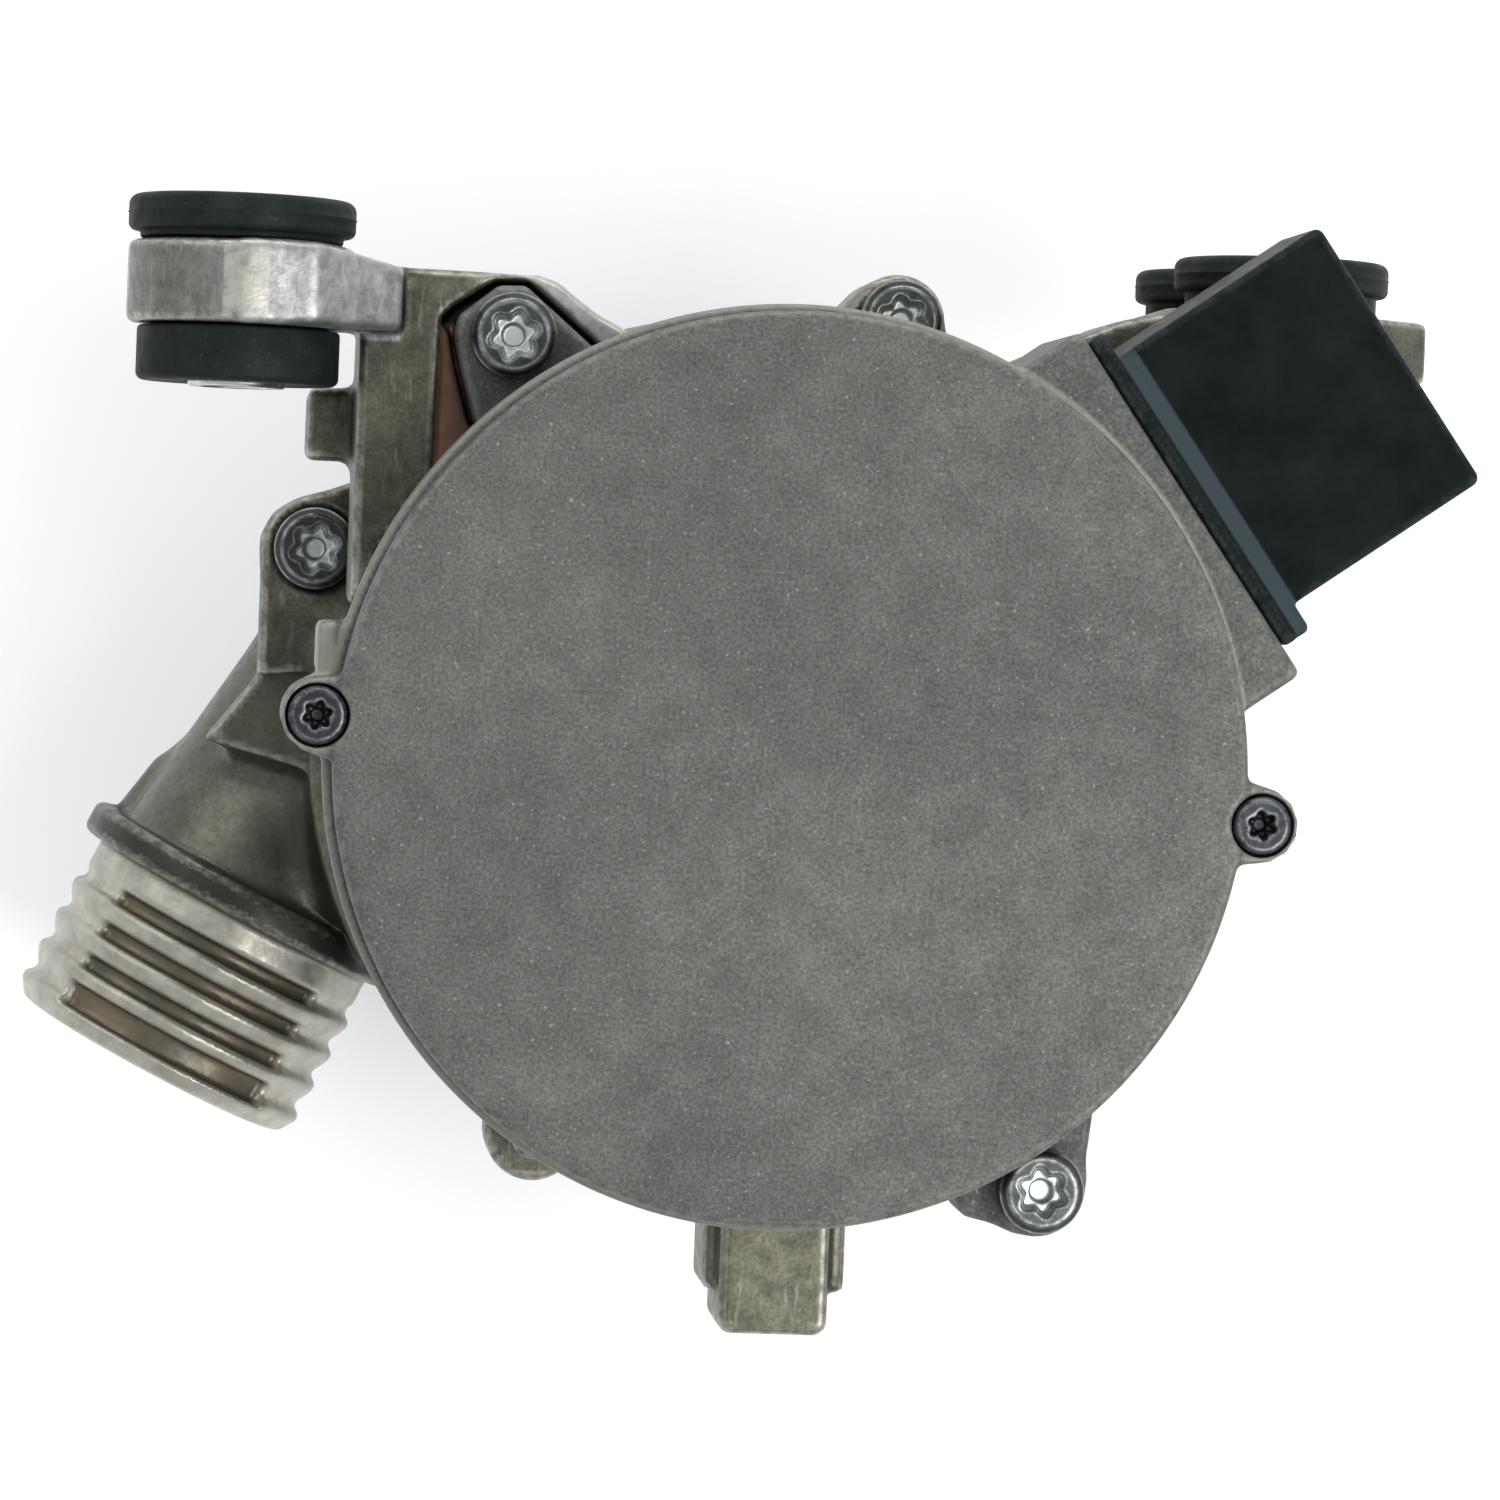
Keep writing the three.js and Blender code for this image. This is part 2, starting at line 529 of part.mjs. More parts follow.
function motorHousingSolid() {
  const tube = turnedSolid([
    [BORE_R, MID_Z - GAP],
    [BODY_R, MID_Z - GAP],
    [BODY_R, FLANGE_Z + FLANGE_T + 3],
    [FLANGE_R, FLANGE_Z + FLANGE_T],
    [FLANGE_R, FLANGE_Z],
    [BORE_R, FLANGE_Z],
  ], WIDE);
  const sideLug = box([-60.2, 36.4, -60], [-45, 45.4, -40]);
  const flangePlate = prism(flangePlateOutline, FLANGE_Z, FLANGE_Z + FLANGE_T);
  const bosses = [
    ...screwBosses(LONG_SCREWS, LONG_BOSS_R, MID_Z - 28, MID_Z - GAP),
    ...screwBosses(VOLUTE_SCREWS, FLANGE_BOSS_R, FLANGE_Z, FLANGE_Z + FLANGE_T),
    ...screwBosses([LOWER_VOLUTE_SCREW], FLANGE_BOSS_R, FLANGE_Z, LOWER_BOSS_HIGH_Z),
  ];
  const body = joined([
    tube, bracketSolid(), earOne(), twinEars(), sideLug, footSolid(), flangePlate, ...bosses,
  ]);
  const bores = BUSHES.map(({ x, z, earHighY }) =>
    pin(EAR_BORE_R, EAR_LOW_Y - 1, earHighY + 2, x, z, MEDIUM));
  const bushRooms = BUSHES.map(({ x, z }) => pin(BUSH_NECK_R + 1, EAR_LOW_Y - 16, EAR_LOW_Y, x, z, MEDIUM));
  const longHoles = LONG_SCREWS.map((place) =>
    disc(M6.shank + GAP, MID_Z - 18, MID_Z + 1, ...screwPlace(place)));
  const flangeHoles = VOLUTE_SCREWS.map((place) =>
    disc(M6.shank + GAP, FLANGE_Z - 1, FLANGE_Z + FLANGE_T + 1, ...screwPlace(place)));
  const blindHole = disc(M6.shank + GAP, FLANGE_Z - 1, LOWER_BOSS_HIGH_Z - 3,
    ...screwPlace(LOWER_VOLUTE_SCREW));
  const headRooms = VOLUTE_SCREWS.map((place) =>
    disc(M6.head + GAP, FLANGE_Z + FLANGE_T, FLANGE_Z + FLANGE_T + M6.headHeight + 2, ...screwPlace(place)));
  const stator = disc(BORE_R, FLANGE_Z - 1, MID_Z + 1, 0, 0, WIDE);
  const canRecess = disc(ROOM_R + GAP, FLANGE_Z - 1, FLANGE_Z + 3.4, 0, 0, WIDE);
  const sealGroove = disc(53.6, MID_Z - 2.5, MID_Z + 1).subtract(disc(50.4, MID_Z - 4, MID_Z + 2));
  return cutBy(body,
    [...bores, ...bushRooms, ...longHoles, ...flangeHoles, ...headRooms, blindHole,
      stator, canRecess, sealGroove]);
}

function addMotorHousing() {
  addPart(pump, 'motor_housing', geometryOf(motorHousingSolid()), CASTING);
  addPart(pump, 'housing_seal', turnedPart([
    [50.7, MID_Z - GAP],
    [53.3, MID_Z - GAP],
    [53.3, MID_Z - 2.2],
    [50.7, MID_Z - 2.2],
  ]), RUBBER);
}

function addBushes() {
  const rubberProfile = (earHighY) => [
    [SLEEVE_R + GAP, BUSH_BOTTOM_Y],
    [BUSH_NECK_R - 0.4, BUSH_BOTTOM_Y],
    [BUSH_NECK_R, BUSH_BOTTOM_Y + 0.4],
    [BUSH_NECK_R, EAR_LOW_Y - GAP],
    [EAR_BORE_R - GAP, EAR_LOW_Y - GAP],
    [EAR_BORE_R - GAP, earHighY + GAP],
    [BUSH_NECK_R, earHighY + GAP],
    [BUSH_NECK_R, BUSH_FLANGE_Y],
    [BUSH_R - 0.6, BUSH_FLANGE_Y],
    [BUSH_R, BUSH_FLANGE_Y + 0.6],
    [BUSH_R, BUSH_TOP_Y - 0.7],
    [BUSH_R - 0.6, BUSH_TOP_Y],
    [SLEEVE_R + GAP, BUSH_TOP_Y],
  ];
  const sleeveProfile = [
    [SLEEVE_BORE_R, BUSH_BOTTOM_Y - 0.5],
    [SLEEVE_R, BUSH_BOTTOM_Y - 0.5],
    [SLEEVE_R, BUSH_TOP_Y + 0.4],
    [SLEEVE_BORE_R, BUSH_TOP_Y + 0.4],
  ];
  BUSHES.forEach(({ x, z, earHighY }, i) => {
    const bush = new THREE.Group();
    bush.position.set(x, 0, z);
    bush.rotation.x = -Math.PI / 2;
    addPart(bush, `mount_bush_${i + 1}`, turnedPart(rubberProfile(earHighY), MEDIUM), RUBBER);
    addPart(bush, `bush_sleeve_${i + 1}`, turnedPart(sleeveProfile, COARSE), BRIGHT_STEEL);
    pump.add(bush);
  });
}

// Stator and rotor

function statorSolid() {
  const span = [STACK_LOW_Z, STACK_HIGH_Z];
  const yoke = disc(BORE_R - 0.4, ...span, 0, 0, WIDE).subtract(disc(38, STACK_LOW_Z - 1, STACK_HIGH_Z + 1));
  const tips = disc(28.5, ...span).subtract(disc(CAN_R + 0.6, STACK_LOW_Z - 1, STACK_HIGH_Z + 1));
  const teeth = [];
  const slots = [];
  for (let i = 0; i < TEETH; i += 1) {
    const angle = radians(i * 360 / TEETH);
    const tooth = new THREE.BoxGeometry(12.5, 12, STACK_HIGH_Z - STACK_LOW_Z);
    tooth.translate(33.2, 0, (STACK_HIGH_Z + STACK_LOW_Z) / 2);
    tooth.rotateZ(angle);
    teeth.push(solidOf(tooth));
    const slot = new THREE.BoxGeometry(12, 2.6, STACK_HIGH_Z - STACK_LOW_Z + 2);
    slot.translate(27, 0, (STACK_HIGH_Z + STACK_LOW_Z) / 2);
    slot.rotateZ(angle + Math.PI / TEETH);
    slots.push(solidOf(slot));
  }
  return joined([yoke, cutBy(tips, slots), ...teeth]);
}

function addStator() {
  addPart(pump, 'stator_core', geometryOf(statorSolid()), LAMINATION);
  const coil = box([29, -9.6, STACK_LOW_Z - 4], [35.6, 9.6, STACK_HIGH_Z + 4])
    .subtract(box([28, -6.3, STACK_LOW_Z - GAP], [37, 6.3, STACK_HIGH_Z + GAP]));
  for (let i = 0; i < TEETH; i += 1) {
    const winding = addPart(pump, `stator_coil_${i + 1}`, geometryOf(coil), COPPER);
    winding.rotation.z = radians(i * 360 / TEETH);
  }
  const canInside = CAN_R - CAN_WALL;
  addPart(pump, 'separating_can', turnedPart([
    [0, -36.4],
    [CAN_R - 1, -36.4],
    [CAN_R, -37.4],
    [CAN_R, FLANGE_Z + 3.1],
    [ROOM_R, FLANGE_Z + 3.1],
    [ROOM_R, FLANGE_Z + GAP],
    [canInside, FLANGE_Z + GAP],
    [canInside, -38],
    [BEARING_R + 2.4, -38],
    [BEARING_R + 2.4, -43.5],
    [BEARING_R + GAP, -43.5],
    [BEARING_R + GAP, -38],
    [0, -38],
  ]), CAN_PLASTIC);
  addPart(pump, 'rear_bearing', turnedPart([
    [SHAFT_R + GAP, -38.3], [BEARING_R, -38.3], [BEARING_R, -43.6], [SHAFT_R + GAP, -43.6],
  ], COARSE), CARBON);
}

function addBearingPlate() {
  addPart(pump, 'bearing_plate', turnedPart([
    [BEARING_R + GAP, -77.5],
    [12.4, -77.5],
    [12.4, FLANGE_Z],
    [ROOM_R, FLANGE_Z],
    [ROOM_R, FLANGE_Z - 3.6],
    [BEARING_R + GAP, FLANGE_Z - 3.6],
  ]), CAN_PLASTIC);
  addPart(pump, 'front_bearing', turnedPart([
    [SHAFT_R + GAP, FRONT_BEARING_HIGH_Z],
    [BEARING_R, FRONT_BEARING_HIGH_Z],
    [BEARING_R, FRONT_BEARING_LOW_Z],
    [SHAFT_R + GAP, FRONT_BEARING_LOW_Z],
  ], COARSE), CARBON);
}

function impellerSolid() {
  const hub = turnedSolid([
    [SHAFT_R + GAP, -90], [10, -90], [10, -91], [IMPELLER_R, -91], [IMPELLER_R, -92.8], [14, -93.5],
    [9, -103], [SHAFT_R + GAP, -103],
  ], FINE);
  const blades = [];
  for (let i = 0; i < 6; i += 1) {
    const blade = new THREE.Shape();
    blade.absarc(22.5, -14, 17.5, radians(168), radians(62), true);
    blade.absarc(22.5, -14, 15.7, radians(62), radians(168), false);
    const geometry = new THREE.ExtrudeGeometry(blade, { depth: 8.2, bevelEnabled: false, curveSegments: 5 });
    geometry.translate(0, 0, -100.6);
    geometry.rotateZ(radians(i * 60));
    blades.push(solidOf(geometry));
  }
  return joined([hub, ...blades]);
}

function addRotor() {
  addPart(pump, 'shaft', turnedPart([
    [0, -38.9], [SHAFT_R - 0.5, -38.9], [SHAFT_R, -39.4],
    [SHAFT_R, -110], [SHAFT_R - 0.5, -110.5], [0, -110.5],
  ], COARSE), BRIGHT_STEEL);
  addPart(pump, 'rotor_core', turnedPart([
    [SHAFT_R + GAP, STACK_HIGH_Z - 1.6],
    [CORE_R, STACK_HIGH_Z - 1.6],
    [CORE_R, STACK_LOW_Z],
    [SHAFT_R + GAP, STACK_LOW_Z],
  ], COARSE), LAMINATION);
  addPart(pump, 'rotor_magnet', turnedPart([
    [CORE_R + GAP, STACK_HIGH_Z - 1.6],
    [MAGNET_R, STACK_HIGH_Z - 1.6],
    [MAGNET_R, STACK_LOW_Z],
    [CORE_R + GAP, STACK_LOW_Z],
  ], FINE), MAGNET);
  addPart(pump, 'thrust_washer_rear', turnedPart([
    [SHAFT_R + GAP, -43.9], [8.4, -43.9], [8.4, -45.2], [SHAFT_R + GAP, -45.2],
  ], COARSE), BRIGHT_STEEL);
  addPart(pump, 'thrust_washer_front', turnedPart([
    [SHAFT_R + GAP, -74.3], [8.4, -74.3], [8.4, -75.6], [SHAFT_R + GAP, -75.6],
  ], COARSE), BRIGHT_STEEL);
  addPart(pump, 'impeller', geometryOf(impellerSolid()), IMPELLER_PLASTIC);
  addPart(pump, 'impeller_shroud', turnedPart([
    [15.6, -107],
    [17, -107],
    [18, -104],
    [IMPELLER_R, -102.4],
    [IMPELLER_R, -100.9],
    [17, -101.8],
    [15.6, -103],
  ], FINE), IMPELLER_PLASTIC);
  const nut = new THREE.CylinderGeometry(7, 7, 4.5, 6).rotateX(Math.PI / 2);
  const nutSolid = solidOf(nut).subtract(disc(SHAFT_R + GAP, -4, 4));
  addPart(pump, 'impeller_nut', geometryOf(nutSolid), BRIGHT_STEEL).position.z = -105.6;
}

// Pump end

// The volute's outer wall grows in the direction of flow, from the tongue to the outlet
function spiralOutline(innerR, outerR) {
  const tongue = 205;
  const sweep = 300;
  const steps = 24;
  const points = [];
  for (let i = 0; i <= steps; i += 1) {
    points.push(polar(innerR + (outerR - innerR) * (i / steps), tongue + sweep * (i / steps)));
  }
  return outline(points);
}

function voluteSolid() {
  const top = FLANGE_Z - GAP;
  const flange = disc(FLANGE_R, top - FLANGE_T, top, 0, 0, WIDE);
  const plate = prism(outline([
    [-46, 38], [-53.6, 34], [-60.5, 31.3], [-63.7, 29.4], [-65.2, 26.4], [-65.2, 7.7],
    [-71.9, -0.9], outletPoint([30, 2]), outletPoint([24, -10]), [-40, -20],
  ]), top - FLANGE_T, top);
  const casing = prism(spiralOutline(45, 60), VOLUTE_LOW_Z, top - 2);
  const bosses = [
    ...screwBosses(VOLUTE_SCREWS, FLANGE_BOSS_R, top - 2 * FLANGE_T, top),
    ...screwBosses([LOWER_VOLUTE_SCREW], FLANGE_BOSS_R, top - FLANGE_T, top),
  ];
  const duct = turnedOnOutlet([[0, -4], [13.5, -4], [15.5, 20], [19, COLLAR_S + 1], [0, COLLAR_S + 1]]);
  const gusset = prism(outline([outletPoint([28, 0]), outletPoint([32, 13]), outletPoint([39, 19]),
    outletPoint([COLLAR_S + 1, 20.8]), outletPoint([COLLAR_S + 1, 0])]), -108, -101);
  const outletRibs = ribProfile(COLLAR_S + COLLAR.thickness, MOUTH_S);
  const outlet = turnedOnOutlet([
    [0, COLLAR_S], [COLLAR.r, COLLAR_S], [COLLAR.r, COLLAR_S + COLLAR.thickness], ...outletRibs, [0, MOUTH_S],
  ]);
  const inletRibs = ribProfile(INLET_COLLAR_Z - COLLAR.thickness, INLET_LOW_Z);
  const inlet = turnedSolid([
    [0, VOLUTE_LOW_Z + 1],
    [26, VOLUTE_LOW_Z + 1],
    [19.5, INLET_COLLAR_Z + 1],
    [COLLAR.r, INLET_COLLAR_Z],
    [COLLAR.r, INLET_COLLAR_Z - COLLAR.thickness],
    ...inletRibs,
    [0, INLET_LOW_Z],
  ], MEDIUM);
  const recess = disc(ROOM_R + GAP, top - 4.2, top + 1, 0, 0, WIDE);
  const chamber = prism(spiralOutline(40, 55.5), CHAMBER_LOW_Z, top - 4)
    .add(disc(IMPELLER_R + 1.5, CHAMBER_LOW_Z, top - 4));
  const eye = disc(18.6, -108, -104).add(disc(NOZZLE_BORE_R, INLET_LOW_Z - 1, -104));
  const bore = turnedOnOutlet([[0, 4], [6.4, 4], [7.6, 20], [10.5, 34], [NOZZLE_BORE_R, COLLAR_S],
    [NOZZLE_BORE_R, MOUTH_S + 1], [0, MOUTH_S + 1]]);
  const holes = VOLUTE_SCREWS.map((place) => disc(M6.shank + GAP, top - 12, top + 1, ...screwPlace(place)));
  const lowerHole = disc(M6.shank + GAP, top - FLANGE_T - 1, top + 1, ...screwPlace(LOWER_VOLUTE_SCREW));
  const body = joined([flange, plate, casing, ...bosses, duct, gusset, outlet, inlet]);
  const motorRoom = disc(FLANGE_R + 0.4, top, FLANGE_Z + 20, 0, 0, WIDE);
  const plateRoom = prism(flangePlateOutline, top, FLANGE_Z + 20);
  return cutBy(body, [recess, chamber, eye, bore, ...holes, lowerHole, motorRoom, plateRoom, motorEarRoom()]);
}

// Room for the third ear, which hangs down beside the volute
function motorEarRoom() {
  const [, second, third] = BUSHES;
  return box([second.x - 17.5, EAR_LOW_Y - 1, third.z - 18],
    [second.x + 20, third.earHighY + 2, FLANGE_Z + 2]);
}

function addPumpEnd() {
  addPart(pump, 'volute_housing', geometryOf(voluteSolid()), TURNED_ALUMINIUM);
  const screw = geometryOf(screwSolid(M6, FLANGE_T + 9));
  VOLUTE_SCREWS.forEach((place, i) => {
    const bolt = addPart(pump, `volute_screw_${i + 1}`, screw, ZINC_STEEL);
    bolt.position.set(...screwPlace(place), FLANGE_Z + FLANGE_T + GAP);
  });
  const lowerBolt = addPart(pump, 'volute_screw_4', screw, ZINC_STEEL);
  lowerBolt.rotation.x = Math.PI;
  lowerBolt.position.set(...screwPlace(LOWER_VOLUTE_SCREW), FLANGE_Z - FLANGE_T - 2 * GAP);
}

addElectronicsEnd();
addCircuit();
addConnector();
addMotorHousing();
addBushes();
addStator();
addBearingPlate();
addRotor();
addPumpEnd();

export default pump;
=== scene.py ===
# Electric coolant pump, seen from above its electronics cover. The castings are modelled as distance
# fields, so that their corners have cast fillets, and skinned with OpenVDB. Sizes are in millimetres
# in the part's frame until a piece is made: the shaft is Z, and the cover's outer face is z = 0.
import json
import math

import bmesh
import bpy
import numpy as np
import openvdb
from mathutils import Matrix, Vector


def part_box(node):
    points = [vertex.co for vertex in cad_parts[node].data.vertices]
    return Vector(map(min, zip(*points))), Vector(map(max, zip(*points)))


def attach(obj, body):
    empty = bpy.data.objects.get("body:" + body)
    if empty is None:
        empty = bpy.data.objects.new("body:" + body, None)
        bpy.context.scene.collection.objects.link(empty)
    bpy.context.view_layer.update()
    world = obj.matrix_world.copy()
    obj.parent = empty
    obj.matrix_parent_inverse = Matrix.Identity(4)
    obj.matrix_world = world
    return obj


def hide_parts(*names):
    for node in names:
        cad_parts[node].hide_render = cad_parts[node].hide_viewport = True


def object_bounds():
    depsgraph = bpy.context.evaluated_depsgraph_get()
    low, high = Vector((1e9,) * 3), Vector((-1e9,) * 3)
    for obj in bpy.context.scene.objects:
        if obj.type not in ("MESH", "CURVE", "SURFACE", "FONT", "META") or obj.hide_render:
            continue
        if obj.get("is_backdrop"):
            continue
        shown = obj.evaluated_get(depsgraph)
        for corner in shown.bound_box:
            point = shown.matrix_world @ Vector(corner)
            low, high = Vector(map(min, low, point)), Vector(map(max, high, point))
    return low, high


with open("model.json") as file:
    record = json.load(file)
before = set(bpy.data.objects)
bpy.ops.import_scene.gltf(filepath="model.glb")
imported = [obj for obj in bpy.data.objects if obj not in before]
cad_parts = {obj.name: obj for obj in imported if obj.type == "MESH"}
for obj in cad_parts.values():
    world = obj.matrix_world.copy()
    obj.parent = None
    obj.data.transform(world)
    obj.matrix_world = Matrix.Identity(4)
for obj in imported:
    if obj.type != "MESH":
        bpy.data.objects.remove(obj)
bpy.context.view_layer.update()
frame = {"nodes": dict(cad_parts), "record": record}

MM = 0.001


def cad_box(node):
    """A CAD node's lowest and highest corner in millimetres."""
    low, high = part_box(node)
    return np.array(low) / MM, np.array(high) / MM


def cad_centre(node):
    low, high = cad_box(node)
    return (low + high) / 2


# Sizes read from the frame

GAP = 0.3  # left between two castings, and under each screw head
COVER_LOW, COVER_HIGH = cad_box("electronics_cover")
COVER_R = COVER_HIGH[1]
RIM_Z = COVER_LOW[2] - GAP
HOUSING_LOW, HOUSING_HIGH = cad_box("electronics_housing")
MID_Z = HOUSING_LOW[2] + 6  # the connector platform hangs 6 mm below the joint
MOTOR_LOW, MOTOR_HIGH = cad_box("motor_housing")
VOLUTE_LOW, VOLUTE_HIGH = cad_box("volute_housing")
FLANGE_Z = VOLUTE_HIGH[2] + GAP
INLET_LOW_Z = VOLUTE_LOW[2]
BUSH_CENTRES = [cad_centre(f"mount_bush_{i}") for i in (1, 2, 3)]
BUSH_LOW_Y, BUSH_HIGH_Y = (box[1] for box in cad_box("mount_bush_1"))
COVER_SCREWS = [cad_centre(f"cover_screw_{side}") for side in ("left", "right")]
LONG_SCREWS = [cad_centre(f"housing_screw_{place}") for place in ("upper", "lower")]
VOLUTE_SCREWS = [cad_centre(f"volute_screw_{i}") for i in (1, 2, 3, 4)]

# Sizes of the castings, as in the CAD part, except that the nozzle's barbs are a little finer here

ABOVE = 5  # over the whole pump, where cuts through a casting's top end
BELOW = -140  # under the motor housing, where cuts through its underside end
RIM_R = 57.2
BODY_R = 55.3
BORE_R = 46
ROOM_R = 50
FLANGE_R = 58
FLANGE_T = 8
LOWER_SEAT_Z = FLANGE_Z - FLANGE_T - 2 * GAP
BOSS_R = 6.3
SCREW_SEAT_Z = -24
COVER_SEAT_Z = -3.5
COVER_SCREW_ANGLES = (175.5, -4.5)
LUG_OUTLINE = [(52, -6), (59.6, -4.4), (61.6, -3), (62.6, -1), (62.6, 1), (61.6, 3), (59.6, 4.4), (52, 6)]
M6_HOLE_R = 3.3
M4_HOLE_R = 2.3
M4_HEAD_R = 3.6
M6_HEAD_R = 5.35
LOWER_BOSS_HIGH_Z = -70
EAR_LOW_Y = 52
EAR_HIGH_Y = (62.2, 60.2, 60.2)
EAR_BORE_R = 11.3
BUSH_R = 14.1
BUSH_NECK_R = 12.6
BUSH_FLANGE_Y = 63.4
CONNECTOR_ANGLE = math.radians(35.4)
PLATFORM_N = 60
PLATFORM_T = 25.4
OUTLET_ANGLE = math.radians(243.7)
OUTLET_OFFSET = 49.05
OUTLET_Z = -98
COLLAR_S = 47.3
MOUTH_S = 75.6
COLLAR_R = 23.4
COLLAR_T = 4.4
NOZZLE_R = 20.0
NOZZLE_BORE_R = 16.4
RIB_RISE = 1.3
RIB_FIRST = 6.7
RIB_PITCH = 4.8
RIB_COUNT = 4
SLOT_R = 18.9  # the slots in the nozzle's upper and under side reach in to this radius
SLOT_HALF_ANGLE = math.radians(47)
SLOT_WIDTHS = (2.1, 2.1, 2.1, 3.4)
SLOT_TO_CREST = 1.4
VOLUTE_LOW_Z = -110
INLET_COLLAR_Z = -118
CHAMBER_LOW_Z = -104.6  # floor of the room the impeller turns in
IMPELLER_R = 37


# Distance fields


def smooth_min(a, b, fillet):
    if not fillet:
        return np.minimum(a, b)
    near = np.maximum(fillet - np.abs(a - b), 0) / fillet
    return np.minimum(a, b) - near * near * (fillet / 4)


def polygon_distance(x, y, points):
    """Signed distance from (x, y) to a closed outline, negative inside."""
    x, y = np.broadcast_arrays(x, y)
    nearest = np.full(x.shape, 1e9, np.float32)
    inside = np.zeros(x.shape, bool)
    for (ax, ay), (bx, by) in zip(points, points[1:] + points[:1]):
        ex, ey = bx - ax, by - ay
        wx, wy = x - ax, y - ay
        along = np.clip((wx * ex + wy * ey) / (ex * ex + ey * ey), 0, 1)
        nearest = np.minimum(nearest, (wx - along * ex) ** 2 + (wy - along * ey) ** 2)
        if ey:
            crosses = (ay > y) != (by > y)
            inside ^= crosses & (x < ax + (y - ay) * ex / ey)
    return np.where(inside, -1, 1).astype(np.float32) * np.sqrt(nearest)


def rounded(flat, along, edge):
    """The solid that lies inside both distances, with its edges rounded."""
    a, b = flat + edge, along + edge
    outside = np.sqrt(np.maximum(a, 0) ** 2 + np.maximum(b, 0) ** 2)
    return np.minimum(np.maximum(a, b), 0) + outside - edge


def between(value, low, high):
    return np.abs(value - (low + high) / 2) - (high - low) / 2


# Spacing of the tables that turned outlines are read from, about Z and about the outlet's axis
TURNED_STEP = 0.1
OUTLET_STEP = 0.2


